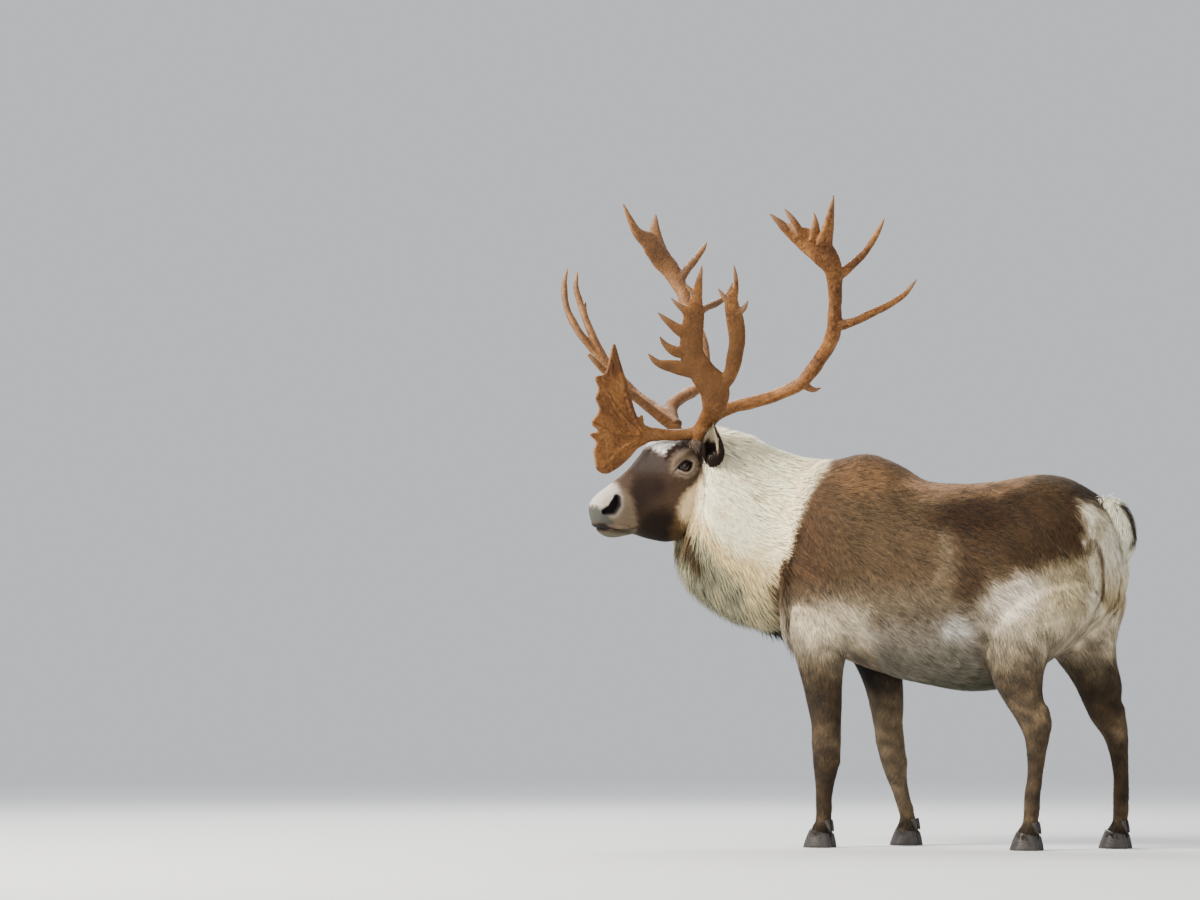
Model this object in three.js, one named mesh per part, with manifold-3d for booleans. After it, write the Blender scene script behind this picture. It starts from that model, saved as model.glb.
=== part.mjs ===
// Bull woodland reindeer, standing, with its head turned to its left.
// Millimetres, +Z up. X runs from head to tail, and the animal's left side faces -Y.
import * as THREE from 'three';
import { mergeVertices } from 'three/addons/utils/BufferGeometryUtils.js';
import Module from 'manifold-3d';

const wasm = await Module();
wasm.setup();

const clearance = 0.3; // gap between nodes that touch

// Trunk along X: x, top, bottom, half width, height of the widest point
const trunk = [
  [-560, 1040, 760, 60, 900],
  [-520, 1134, 656, 142, 880],
  [-450, 1192, 612, 182, 862],
  [-360, 1211, 580, 204, 846],
  [-270, 1223, 548, 214, 840],
  [-180, 1192, 519, 222, 820],
  [-80, 1137, 497, 230, 800],
  [40, 1123, 477, 236, 790],
  [140, 1125, 480, 233, 800],
  [220, 1135, 505, 223, 830],
  [300, 1144, 555, 214, 850],
  [380, 1132, 605, 205, 880],
  [450, 1096, 655, 190, 890],
  [505, 1052, 700, 164, 890],
  [540, 1000, 735, 128, 875],
  [558, 945, 790, 80, 865],
  [564, 900, 830, 34, 865],
];

// Neck with its mane: top of the nape x y z, lower edge of the mane x y z, half width
const neck = [
  [0, -400, 0, 1206, -450, 0, 656, 176],
  [1, -497, -3, 1224, -596, -20, 640, 172],
  [2, -591, -20, 1258, -668, -52, 650, 168],
  [3, -664, -50, 1294, -738, -88, 684, 162],
  [4, -722, -78, 1308, -798, -132, 736, 150],
  [5, -766, -102, 1304, -830, -162, 800, 134],
  [6, -800, -124, 1293, -828, -168, 868, 114],
  [7, -824, -142, 1276, -816, -160, 925, 92],
];

// Mane: depth of the core under the coat's outline at the fringe, side and nape, and the locks
const maneDepth = { fringe: 62, side: 20, nape: 8 };
const maneLocks = {
  rows: 7,
  columns: 9,
  from: 0.14, // share of the neck where the rearmost row is rooted
  to: 0.9,
  spread: 235, // degrees of the section that the rows cover, round its lowest point
  lie: 0.3, // share of the neck that a lock runs back over at the sides
  hang: 0.17, // the same at the fringe, where it hangs
  twist: 70, // degrees that a lock of the fringe turns its flat to the side
  sink: 16, // depth of the root in the core
  stand: 7, // most that a tip stands past the coat's outline
  halfWidth: 35,
  halfThick: 8,
  seed: 5,
};

// Head in its own pitched frame: distance along the face, top, throat side, half width,
// and how far down the section is widest, as a share of its height
const head = [
  [-115, -40, -185, 60, 0.45],
  [-60, -4, -245, 78, 0.42],
  [0, 5, -298, 84, 0.36],
  [60, 14, -302, 86, 0.34],
  [112, 26, -300, 85, 0.33],
  [150, 27, -296, 78, 0.36],
  [185, 14, -290, 70, 0.42],
  [215, 2, -280, 64, 0.44],
  [245, -10, -262, 58, 0.46],
  [280, -19, -238, 53, 0.47],
  [315, -26, -212, 50, 0.46],
  [347, -32, -203, 50, 0.46],
  [376, -37, -196, 49, 0.46],
  [405, -46, -182, 44, 0.48],
  [424, -60, -160, 33, 0.5],
  [435, -90, -130, 14, 0.5],
];
const headPlace = new THREE.Vector3(-814, -140, 1290); // top of the skull between the antlers
const headYaw = 57; // degrees from straight ahead, to the left
const headRoll = 5.1; // degrees, left side down
const headPitch = 25; // degrees, face down from level

// Legs by height: z, half length, half width, distance from the middle, x left, x right
const foreleg = [
  [36, 31, 27, 155, -362, -195],
  [75, 27, 26, 155, -360, -199],
  [110, 25, 25, 155, -361, -208],
  [160, 29, 27, 156, -358, -223],
  [210, 36, 31, 157, -354, -237],
  [260, 43, 36, 158, -350, -248],
  [310, 46, 40, 158, -348, -256],
  [380, 49, 41, 157, -350, -266],
  [440, 57, 45, 155, -356, -270],
  [500, 65, 50, 151, -364, -278],
  [560, 78, 56, 146, -371, -292],
  [620, 95, 62, 138, -373, -314],
  [690, 107, 62, 126, -376, -342],
  [770, 108, 54, 113, -370, -358],
  [850, 92, 40, 96, -352, -352],
];
const hindLeg = [
  [36, 32, 28, 145, 303, 489],
  [75, 26, 25, 145, 304, 493],
  [110, 25, 24, 145, 306, 494],
  [160, 27, 25, 146, 311, 496],
  [230, 29, 27, 147, 321, 496],
  [290, 32, 30, 147, 325, 490],
  [340, 41, 33, 147, 327, 481],
  [390, 57, 37, 146, 318, 460],
  [440, 62, 43, 144, 289, 441],
  [500, 77, 55, 140, 268, 428],
  [560, 92, 69, 133, 264, 402],
  [617, 119, 82, 126, 279, 374],
  [662, 152, 90, 120, 303, 352],
  [746, 192, 92, 113, 322, 338],
  [812, 196, 84, 108, 322, 330],
  [880, 172, 68, 96, 330, 330],
  [940, 124, 48, 86, 340, 340],
];
const elbowHeight = 600;
const thighCut = [new THREE.Vector3(200, 0, 620), new THREE.Vector3(550, 0, 750)];
const neckCut = [new THREE.Vector3(-455, 0, 1200), new THREE.Vector3(-560, 0, 620)];

// Feet
const coronetHeight = 52;
const coronetSlope = 0.28; // drop of the coronet from toe to heel
const claw = { halfLength: 50, halfWidth: 20.5, apart: 24, topHalfLength: 31, topShift: 10 };
const dewclaw = { length: 46, radius: 12, apart: 23, height: 82 };

// Tail: x, z of its middle line, half width, half depth
const tail = [
  [492, 1054, 26, 20],
  [524, 1034, 36, 24],
  [550, 1000, 40, 24],
  [563, 960, 38, 22],
  [566, 920, 27, 17],
  [560, 888, 8, 8],
];

// Eyes, ears, nostrils and mouth in the head's frames
const eye = { along: 101, out: 65, up: -66, radius: 21.5, lid: 5.5, opening: [48, 29], slant: 5 };
const ear = {
  base: [-40, 78, -92],
  tip: [2, 140, 30],
  faces: [0.97, 0.2, -0.3],
  sizes: [[24, 24], [36, 30], [41, 28], [36, 20], [23, 12], [7, 5]],
  wall: 0.76,
};
const nostril = [[402, 44, -92, 9], [378, 50, -94, 15], [358, 51, -82, 13], [346, 50, -68, 6]];
const mouth = [[446, -120], [428, -138], [405, -155], [388, -162], [362, -176], [338, -187], [322, -192]];
const lipReach = 9; // depth of the mouth line
const upperLip = [[424, 14, -122, 12], [404, 31, -142, 12], [370, 39, -158, 11], [336, 41, -178, 7]];
const lowerLip = [[412, 12, -152, 11], [390, 28, -168, 11], [358, 36, -184, 9], [332, 40, -194, 6]];
const browRidge = [[56, 66, -36, 9], [88, 73, -32, 14], [122, 69, -40, 14], [152, 60, -62, 7]];

// Antlers in the head's frame: forward, out from the middle, up, and how much lower the left
// one runs, with half width and half depth
const beam = [
  [8, 44, -46, 0, 25, 25],
  [11, 62, -8, 0, 27, 27],
  [12, 96, 26, 5, 26, 26],
  [0, 128, 60, 2, 24, 24],
  [-24, 148, 84, 4, 22, 22],
  [-62, 162, 103, 9, 20, 20],
  [-155, 203, 138, 13, 20, 20],
  [-226, 267, 190, 17, 21, 21],
  [-258, 320, 268, 20, 22, 21],
  [-260, 384, 347, 20, 27, 20],
  [-243, 412, 418, 9, 23, 19],
  [-226, 434, 464, 7, 24, 19],
  [-200, 456, 525, 0, 32, 18],
  [-158, 464, 568, 0, 37, 15],
  [-100, 448, 613, 2, 32, 12],
  [-42, 434, 642, 4, 15, 10],
  [26, 422, 710, 25, 3, 3],
];
const beamFork = 9; // row of the beam where the crown begins
const beamFlat = [0.2, -1, 0.35]; // direction across the flat of the crown
const spur = [[-238, 272, 182, 12, 14, 12], [-275, 272, 162, 6, 9, 8], [-306, 272, 168, 4, 3, 3]];
const rearTineLow = [
  [-250, 390, 365, 14, 22, 17],
  [-300, 440, 386, 14, 15, 13],
  [-340, 458, 407, 11, 13, 12],
  [-400, 479, 434, 5, 12, 11],
  [-446, 497, 465, 0, 9, 9],
  [-478, 513, 512, -2, 3, 3],
];
const rearTineHigh = [
  [-215, 438, 500, 2, 20, 15],
  [-262, 460, 542, 1, 15, 13],
  [-302, 476, 582, -5, 12, 11],
  [-335, 489, 628, -20, 10, 9],
  [-356, 495, 666, -30, 3, 3],
];
const crownTines = [
  [[-146, 476, 600, 4, 28, 13], [-148, 492, 655, -4, 17, 11], [-154, 503, 735, -18, 3, 3]],
];
const leftCrownTines = [
  [[-118, 465, 610, 0, 20, 11], [-114, 470, 656, 0, 11, 9], [-107, 470, 697, 0, 3, 3]],
  [[-76, 450, 625, 0, 18, 11], [-46, 450, 666, 0, 11, 9], [-12, 445, 703, 0, 3, 3]],
];

const bezFlat = [0.53, 0.848, -0.65]; // direction across the palm of the bez
const leftBez = [
  [8, 74, 20, 0, 22, 22],
  [18, 140, 62, 0, 32, 22],
  [38, 190, 100, 0, 40, 18],
  [66, 220, 150, 0, 52, 14],
  [116, 228, 196, 0, 44, 11],
  [162, 238, 246, 0, 38, 9],
  [184, 266, 305, 0, 36, 8],
  [200, 298, 365, 0, 32, 8],
  [214, 328, 422, 0, 18, 8],
  [241, 390, 514, 0, 3, 3],
];
const leftBezBranches = [
  [[50, 218, 135, 0, 24, 14], [38, 268, 188, 0, 22, 13], [46, 300, 240, 0, 25, 12],
    [64, 336, 300, 0, 27, 10], [92, 362, 356, 0, 28, 9], [122, 382, 410, 0, 22, 8],
    [128, 412, 458, 0, 9, 7], [161, 444, 520, 0, 3, 3]],
  [[104, 366, 370, 0, 15, 9], [84, 390, 388, 0, 10, 7], [80, 412, 416, 0, 3, 3]],
  [[130, 378, 405, 0, 12, 7], [150, 378, 425, 0, 8, 6], [173, 380, 448, 0, 3, 3]],
  [[120, 225, 195, 0, 26, 10], [190, 184, 204, 0, 16, 9], [240, 166, 215, 0, 10, 7],
    [274, 159, 242, 0, 3, 3]],
  [[160, 240, 250, 0, 22, 9], [206, 214, 252, 0, 13, 8], [240, 203, 272, 0, 8, 6],
    [264, 206, 296, 0, 3, 3]],
  [[176, 266, 300, 0, 22, 8], [222, 252, 318, 0, 13, 8], [265, 243, 345, 0, 8, 6],
    [298, 241, 368, 0, 3, 3]],
  [[192, 300, 360, 0, 18, 8], [230, 292, 378, 0, 11, 7], [260, 288, 396, 0, 7, 6],
    [283, 286, 414, 0, 3, 3]],
  [[206, 325, 410, 0, 14, 8], [236, 330, 436, 0, 8, 6], [263, 332, 458, 0, 3, 3]],
];
const rightBez = [
  [8, 66, 22, 0, 22, 22],
  [20, 125, 56, 0, 24, 22],
  [36, 172, 87, -7, 22, 20],
  [64, 221, 130, -16, 22, 17],
  [107, 247, 182, -24, 23, 15],
  [161, 269, 239, -21, 25, 14],
  [245, 292, 302, 0, 17, 11],
  [272, 335, 385, 0, 14, 10],
  [266, 366, 452, 0, 10, 9],
  [243, 390, 513, 0, 3, 3],
];
const rightBezBranches = [
  [[161, 269, 239, -21, 22, 13], [207, 298, 322, 0, 17, 11], [222, 335, 400, 0, 14, 10],
    [232, 350, 452, 0, 11, 9], [228, 352, 503, 0, 3, 3]],
  [[212, 320, 362, 0, 10, 9], [200, 342, 384, 0, 7, 7], [192, 350, 408, 0, 3, 3]],
];

// Brow tines: the left one is a broad shovel over the face, the right one a plain spike
const shovelStem = [
  [8, 58, 16, 0, 21, 21],
  [60, 44, -4, 0, 18, 16],
  [120, 28, -6, 0, 19, 13],
  [170, 18, -8, 0, 26, 9],
  [205, 15, -14, 0, 40, 7],
];
const shovelThickness = 12;
const shovelLean = 15; // distance of the blade from the middle of the head
const shovelBow = 0.0002; // curl of the blade to the left above and below its stem
const shovelEdge = [
  [165, 16], [182, 24], [192, 53], [205, 44], [228, 84], [258, 155], [285, 212], [315, 270],
  [326, 222], [338, 176], [372, 162], [358, 128], [366, 98], [350, 62], [376, 17], [350, -4],
  [381, -15], [354, -40], [364, -66], [358, -96], [350, -126], [320, -137], [280, -120],
  [240, -90], [196, -48], [165, -32],
];
const rightBrow = [
  [8, 52, 6, 0, 20, 20],
  [45, 70, 34, 0, 17, 12],
  [120, 82, 84, 0, 15, 11],
  [200, 88, 134, 0, 13, 10],
  [270, 92, 184, 0, 12, 9],
  [336, 92, 236, 0, 8, 7],
];

const coatBrown = { color: 0x6b5040, roughness: 0.9, metalness: 0 };
const legBrown = { color: 0x5c463a, roughness: 0.9, metalness: 0 };
const maneCream = { color: 0xcdbfa8, roughness: 0.92, metalness: 0 };
const faceBrown = { color: 0x5a4a42, roughness: 0.85, metalness: 0 };
const earGrey = { color: 0x8a7d70, roughness: 0.9, metalness: 0 };
const tailWhite = { color: 0xd8cdbb, roughness: 0.92, metalness: 0 };
const antlerBrown = { color: 0x8a5a32, roughness: 0.6, metalness: 0 };
const hornBlack = { color: 0x2a2420, roughness: 0.45, metalness: 0 };
const eyeBlack = { color: 0x150f0d, roughness: 0.08, metalness: 0 };

const radians = THREE.MathUtils.degToRad;
const vector = (list) => new THREE.Vector3(...list);
const steps = (count) => Array.from({ length: count + 1 }, (_, i) => i / count);
const turns = (count) => steps(count).slice(0, count).map((share) => share * 2 * Math.PI);
const last = (list) => list[list.length - 1];

// Head frames: forward, left and up of the skull, then the same pitched along the face
const forward = new THREE.Vector3(-Math.cos(radians(headYaw)), -Math.sin(radians(headYaw)), 0);
const level = new THREE.Vector3(0, 0, 1).cross(forward);
const leftward = level.clone().applyAxisAngle(forward, -radians(headRoll));
const upward = forward.clone().cross(leftward);

function headPoint(f, out, up) {
  return headPlace.clone().addScaledVector(forward, f).addScaledVector(leftward, out)
    .addScaledVector(upward, up);
}

function facePoint(along, out, up) {
  const c = Math.cos(radians(headPitch));
  const s = Math.sin(radians(headPitch));
  return headPoint(along * c + up * s, out, up * c - along * s);
}

function headDirection(list) {
  return headPoint(...list).sub(headPlace).normalize();
}

// One row of a table at a value of its first column, by a cubic through the rows
function rowAt(table, value) {
  const end = table.length - 1;
  let i = 0;
  while (i < end - 1 && value > table[i + 1][0]) i += 1;
  const span = table[i + 1][0] - table[i][0];
  const u = THREE.MathUtils.clamp((value - table[i][0]) / span, 0, 1);
  const slope = (k, column) => {
    const a = table[Math.max(k - 1, 0)];
    const b = table[Math.min(k + 1, end)];
    return (b[column] - a[column]) / (b[0] - a[0]);
  };
  return table[i].map((a, column) => {
    const b = table[i + 1][column];
    const rise = span * slope(i, column);
    const fall = span * slope(i + 1, column);
    const bend = (1 - u) * rise - u * fall + (2 * u - 1) * (b - a);
    return a + u * (b - a) + u * (1 - u) * bend;
  });
}

// A closed mesh as a solid, turned so that its faces point out
function solid(geometry) {
  const bare = geometry.clone();
  bare.deleteAttribute('normal');
  bare.deleteAttribute('uv');
  const merged = mergeVertices(bare, 1e-4);
  const triVerts = [];
  const index = merged.index.array;
  for (let i = 0; i < index.length; i += 3) {
    const [a, b, c] = index.slice(i, i + 3);
    if (a !== b && b !== c && c !== a) triVerts.push(a, b, c);
  }
  const at = (k) => new THREE.Vector3().fromBufferAttribute(merged.attributes.position, k);
  let volume = 0;
  for (let i = 0; i < triVerts.length; i += 3) {
    volume += at(triVerts[i]).dot(at(triVerts[i + 1]).cross(at(triVerts[i + 2])));
  }
  if (volume < 0) triVerts.reverse();
  return new wasm.Manifold(new wasm.Mesh({
    numProp: 3,
    vertProperties: new Float32Array(merged.attributes.position.array),
    triVerts: new Uint32Array(triVerts),
  }));
}

// Rings of equal count joined into a closed solid, with a point in the middle of each end
function loft(rings) {
  const count = rings[0].length;
  const points = rings.flat();
  const triangles = [];
  for (let i = 0; i < rings.length - 1; i += 1) {
    for (let j = 0; j < count; j += 1) {
      const a = i * count + j;
      const b = i * count + (j + 1) % count;
      triangles.push(a, b, a + count, b, b + count, a + count);
    }
  }
  [0, rings.length - 1].forEach((i) => {
    const middle = new THREE.Vector3();
    rings[i].forEach((point) => middle.addScaledVector(point, 1 / count));
    points.push(middle);
    for (let j = 0; j < count; j += 1) {
      const pair = [i * count + j, i * count + (j + 1) % count];
      if (i === 0) pair.reverse();
      triangles.push(points.length - 1, ...pair);
    }
  });
  const geometry = new THREE.BufferGeometry().setFromPoints(points);
  geometry.setIndex(triangles);
  return solid(geometry);
}

// Ring round a middle point: half width to each side, its own reach above and below, each half
// narrowed towards its end by a share
function ovalPoint(middle, side, up, half, above, below, narrow, angle) {
  const c = Math.cos(angle);
  const s = Math.sin(angle);
  const waist = 1 - (s > 0 ? narrow[0] : narrow[1]) * Math.abs(s);
  const across = Math.sign(c) * Math.abs(c) ** 0.9 * half * waist;
  const rise = Math.sign(s) * Math.abs(s) ** 0.92 * (s > 0 ? above : below);
  return middle.clone().addScaledVector(side, across).addScaledVector(up, rise);
}

const ovalRing = (middle, side, up, half, above, below, narrow, count) => (
  turns(count).map((angle) => ovalPoint(middle, side, up, half, above, below, narrow, angle)));

// Half of space on the side that the normal points to
function beyond(point, normal, offset = 0) {
  const size = 6000;
  const box = new THREE.BoxGeometry(size, size, size);
  const turn = new THREE.Quaternion().setFromUnitVectors(new THREE.Vector3(0, 0, 1), normal);
  box.translate(0, 0, size / 2 + offset);
  box.applyQuaternion(turn);
  box.translate(point.x, point.y, point.z);
  return solid(box);
}

const join = (...solids) => wasm.Manifold.union(solids);

function largest(whole) {
  return whole.decompose().sort((a, b) => b.volume() - a.volume())[0];
}

const axisX = new THREE.Vector3(1, 0, 0);
const axisY = new THREE.Vector3(0, 1, 0);
const axisZ = new THREE.Vector3(0, 0, 1);

// Normal of a plane that holds two points and the direction across the body
function acrossNormal([a, b]) {
  return b.clone().sub(a).normalize().cross(axisY).normalize();
}

function trunkSolid(grow = 0) {
  const first = trunk[0][0];
  const length = last(trunk)[0] - first;
  return loft(steps(19).map((share) => {
    const [, top, bottom, half, widest] = rowAt(trunk, first + share * length);
    const x = first + share * length + grow * Math.sign(share - 0.5);
    const middle = new THREE.Vector3(x, 0, widest);
    const above = top - widest + grow;
    const below = widest - bottom + grow;
    return ovalRing(middle, axisY, axisZ, half + grow, above, below, [0.12, 0.08], 18);
  }));
}

function legSolid(table, side, grow = 0) {
  const first = table[0][0];
  const height = last(table)[0] - first;
  return loft(steps(15).map((share) => {
    const z = first + share ** 1.15 * height;
    const [, length, width, out, left, right] = rowAt(table, z);
    const middle = new THREE.Vector3(side > 0 ? left : right, -side * out, z);
    return ovalRing(middle, axisY, axisX, width + grow, length + grow, length + grow, [0.1, 0.05], 10);
  }));
}

// Point on the neck's section at a share of its length and an angle from its side, up
function neckPoint(share, angle, grow) {
  const row = rowAt(neck, share * last(neck)[0]);
  const top = vector(row.slice(1, 4));
  const low = vector(row.slice(4, 7));
  const up = top.clone().sub(low).normalize();
  const turned = axisY.clone().lerp(leftward.clone().negate(), share);
  const side = turned.cross(up).cross(up).negate().normalize();
  const reach = top.distanceTo(low);
  const middle = low.clone().lerp(top, 0.46);
  const above = reach * 0.54 + grow;
  const below = reach * 0.46 + grow;
  return ovalPoint(middle, side, up, row[7] + grow, above, below, [0.38, 0.25], angle);
}

function neckSolid(grow = 0) {
  return loft(steps(11).map((share) => (
    turns(20).map((angle) => neckPoint(share, angle, grow)))));
}

// How deep the core lies under the coat there: most at the fringe, none where the head begins
function coreDepth(share, angle) {
  const down = Math.max(-Math.sin(angle), 0);
  const high = Math.max(Math.sin(angle), 0);
  const depth = THREE.MathUtils.lerp(maneDepth.side, maneDepth.fringe, down ** 2);
  const thin = THREE.MathUtils.smoothstep(1 - share, 0.02, 0.3);
  return THREE.MathUtils.lerp(depth, maneDepth.nape, high) * thin;
}

function neckCore() {
  return loft(steps(10).map((share) => (
    turns(18).map((angle) => neckPoint(share, angle, -coreDepth(share, angle))))));
}

// Flat lock with four sides: rooted in the core, it bends out and back to the coat's outline
function maneLock(share, angle, length, size, random) {
  const bottom = -Math.PI / 2;
  const down = Math.max(-Math.sin(angle), 0) ** 3;
  const lie = THREE.MathUtils.lerp(maneLocks.lie, maneLocks.hang, down) * length;
  const twist = radians(maneLocks.twist) * down * Math.sign(random - 0.5);
  return loft(steps(3).map((along) => {
    const at = Math.max(share - along * lie, 0);
    const turn = angle + (bottom - angle) * (0.25 + 0.2 * random) * along ** 1.3;
    const taper = Math.min(0.45 + 1.8 * along, 1) * (1 - along ** 3 * 0.92);
    const deep = coreDepth(at, turn) + maneLocks.sink * (1 - along) ** 2;
    const edge = size * taper * Math.abs(Math.sin(twist));
    const tip = maneLocks.stand * (0.3 + 0.7 * random) * (1 - Math.abs(Math.sin(twist)) * 0.3);
    const rise = THREE.MathUtils.lerp(-deep, tip, along ** 0.8) - edge * along ** 0.5;
    const middle = neckPoint(at, turn, rise);
    const out = neckPoint(at, turn, rise + 5).sub(middle).normalize();
    const ahead = neckPoint(at + 0.02, turn + 0.02 * (angle - bottom), rise).sub(middle).normalize();
    const across = out.clone().cross(ahead).normalize();
    out.applyAxisAngle(ahead, twist);
    across.applyAxisAngle(ahead, twist);
    return [[1, 0], [0, 1], [-1, 0], [0, -1]].map(([a, b]) => middle.clone()
      .addScaledVector(across, a * size * taper)
      .addScaledVector(out, b * maneLocks.halfThick * taper));
  }));
}

function seeded(seed) {
  let state = seed;
  return () => {
    state = (state * 16807) % 2147483647;
    return state / 2147483647;
  };
}

function maneSolids() {
  const draw = seeded(maneLocks.seed);
  const { rows, columns, from, to, spread, halfWidth } = maneLocks;
  const locks = [];
  for (let row = 0; row < rows; row += 1) {
    for (let column = 0; column < columns; column += 1) {
      const share = THREE.MathUtils.lerp(from, to, (row + 0.7 * draw()) / rows);
      const place = (column + 0.5 * (row % 2) + 0.4 * draw()) / columns - 0.5;
      const angle = radians(-90 + spread * place);
      const length = 0.75 + 0.5 * draw();
      const size = halfWidth * (0.8 + 0.4 * draw());
      locks.push(maneLock(share, angle, length, size, draw()));
    }
  }
  return locks;
}

function headSolid(grow = 0) {
  const first = head[0][0];
  const length = last(head)[0] - first;
  const up = facePoint(0, 0, 1).sub(facePoint(0, 0, 0));
  return loft(steps(19).map((share) => {
    const along = first + share * length;
    const [, top, bottom, half, widest] = rowAt(head, along);
    const height = top - bottom;
    const middle = facePoint(along + grow * Math.sign(share - 0.5), 0, top - widest * height);
    const cheek = THREE.MathUtils.clamp(1 - along / 300, 0.1, 0.8) * 0.4;
    return ovalRing(middle, leftward, up, half + grow, widest * height + grow,
      (1 - widest) * height + grow, [0.12, cheek], 18);
  }));
}

const limbs = [
  { name: 'front_left', table: foreleg, side: 1 },
  { name: 'front_right', table: foreleg, side: -1 },
  { name: 'hind_left', table: hindLeg, side: 1 },
  { name: 'hind_right', table: hindLeg, side: -1 },
];

function limbCut(limb, offset) {
  if (limb.table === foreleg) return beyond(new THREE.Vector3(0, 0, elbowHeight), axisZ, offset);
  return beyond(thighCut[0], acrossNormal(thighCut), offset);
}

// Parts below the elbow and stifle, and the shoulder and thigh above them
function lowerLimb(limb, grow = 0) {
  const whole = legSolid(limb.table, limb.side, grow);
  return whole.subtract(limbCut(limb, grow > 0 ? clearance / 2 : -clearance / 2));
}

function upperLimb(limb) {
  return legSolid(limb.table, limb.side).intersect(limbCut(limb, clearance / 2));
}

const toWorld = { left: 1, right: -1 };

// Antler tube through rows of forward, out, up, drop, half width, half depth; side 1 is the left
function tine(rows, side, across, grow = 0) {
  const curve = new THREE.CatmullRomCurve3(rows.map(([f, out, up, drop]) => (
    headPoint(f, out * side, up - drop * side))), false, 'centripetal');
  const flat = headDirection([across[0], across[1] * side, across[2]]);
  const sides = Math.max(...rows.map((row) => row[4])) > 40 ? 8 : 6;
  const rings = steps(Math.ceil((rows.length - 1) * 1.25)).map((share) => {
    const place = share * (rows.length - 1);
    const i = Math.min(Math.floor(place), rows.length - 2);
    const mix = place - i;
    const half = THREE.MathUtils.lerp(rows[i][4], rows[i + 1][4], mix) + grow;
    const depth = THREE.MathUtils.lerp(rows[i][5], rows[i + 1][5], mix) + grow;
    const tangent = curve.getTangent(share);
    const side3 = flat.clone().cross(tangent).normalize();
    const thick = tangent.clone().cross(side3);
    const middle = curve.getPoint(share).addScaledVector(tangent, grow * Math.sign(share - 0.5));
    return steps(sides).slice(0, sides).map((turn) => {
      const angle = turn * 2 * Math.PI;
      return middle.clone().addScaledVector(side3, Math.cos(angle) * half)
        .addScaledVector(thick, Math.sin(angle) * depth);
    });
  });
  return loft(rings);
}

function tines(list, side, across, grow = 0) {
  return join(...list.map((rows) => tine(rows, side, across, grow)));
}

function shovelBlade(grow = 0) {
  const outline = new THREE.Shape(shovelEdge.map(([f, up]) => new THREE.Vector2(f, up)));
  const thick = shovelThickness - 6 + 2 * grow;
  const blade = new THREE.ExtrudeGeometry(outline, {
    depth: thick, steps: 1, bevelEnabled: true, bevelThickness: 3, bevelSize: 2, bevelOffset: -2 + grow,
    bevelSegments: 1,
  });
  const position = blade.attributes.position;
  for (let i = 0; i < position.count; i += 1) {
    const f = position.getX(i);
    const up = position.getY(i);
    const out = shovelLean + position.getZ(i) - thick / 2 + shovelBow * (up - 20) ** 2;
    position.setXYZ(i, ...headPoint(f, out, up).toArray());
  }
  return solid(blade);
}

// The crown starts where the beam's fork plane cuts it
function beamPlane(side) {
  const [f, out, up, drop] = beam[beamFork];
  const [f0, out0, up0, drop0] = beam[beamFork - 1];
  const point = headPoint(f, out * side, up - drop * side);
  const before = headPoint(f0, out0 * side, up0 - drop0 * side);
  return [point, point.clone().sub(before).normalize()];
}

const skin = (grow) => join(trunkSolid(grow), neckSolid(grow), headSolid(grow));
const bareSkin = () => join(trunkSolid(), neckCore(), headSolid());

const headCutPoint = headPoint(-75, 0, 0);
const headCutNormal = headDirection([375, 0, 120]);

function ball(centre, radius, segments = 12) {
  const sphere = new THREE.SphereGeometry(radius, segments, segments * 0.7);
  sphere.translate(centre.x, centre.y, centre.z);
  return solid(sphere);
}

const eyeCentre = (side) => facePoint(eye.along, eye.out * side, eye.up);

// Space between the lids: a pointed oval that runs out from the eye
function eyeOpening(side) {
  const [length, height] = eye.opening;
  const outline = new THREE.Shape();
  outline.moveTo(-length / 2, 0);
  outline.quadraticCurveTo(0, height, length / 2, eye.slant);
  outline.quadraticCurveTo(0, -height, -length / 2, 0);
  const prism = new THREE.ExtrudeGeometry(outline, { depth: 60, bevelEnabled: false, curveSegments: 4 });
  const position = prism.attributes.position;
  for (let i = 0; i < position.count; i += 1) {
    const along = eye.along + position.getX(i);
    const out = (eye.out + position.getZ(i)) * side;
    position.setXYZ(i, ...facePoint(along, out, eye.up + position.getY(i)).toArray());
  }
  return solid(prism);
}

// Slit of the mouth: a thin band along the lips, only as deep as they reach
function mouthSlit() {
  const upper = mouth.map(([along, up]) => [along, up + 2]);
  const lower = mouth.map(([along, up]) => [along, up - 2]).reverse();
  const outline = new THREE.Shape([...upper, ...lower].map(([a, b]) => new THREE.Vector2(a, b)));
  const band = new THREE.ExtrudeGeometry(outline, { depth: 140, bevelEnabled: false });
  const position = band.attributes.position;
  for (let i = 0; i < position.count; i += 1) {
    const place = facePoint(position.getX(i), position.getZ(i) - 70, position.getY(i));
    position.setXYZ(i, ...place.toArray());
  }
  return solid(band).subtract(headSolid(-lipReach));
}

// Tube through face points, each with its own radius
function faceTube(rows, side) {
  const points = rows.map(([along, out, up]) => facePoint(along, out * side, up));
  const curve = new THREE.CatmullRomCurve3(points);
  return loft(steps(4).map((share) => {
    const place = share * (rows.length - 1);
    const i = Math.min(Math.floor(place), rows.length - 2);
    const radius = THREE.MathUtils.lerp(rows[i][3], rows[i + 1][3], place - i);
    const tangent = curve.getTangent(share);
    const a = upward.clone().cross(tangent).normalize();
    const b = tangent.clone().cross(a);
    return turns(6).map((angle) => curve.getPoint(share)
      .addScaledVector(a, Math.cos(angle) * radius)
      .addScaledVector(b, Math.sin(angle) * radius));
  }));
}

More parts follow.
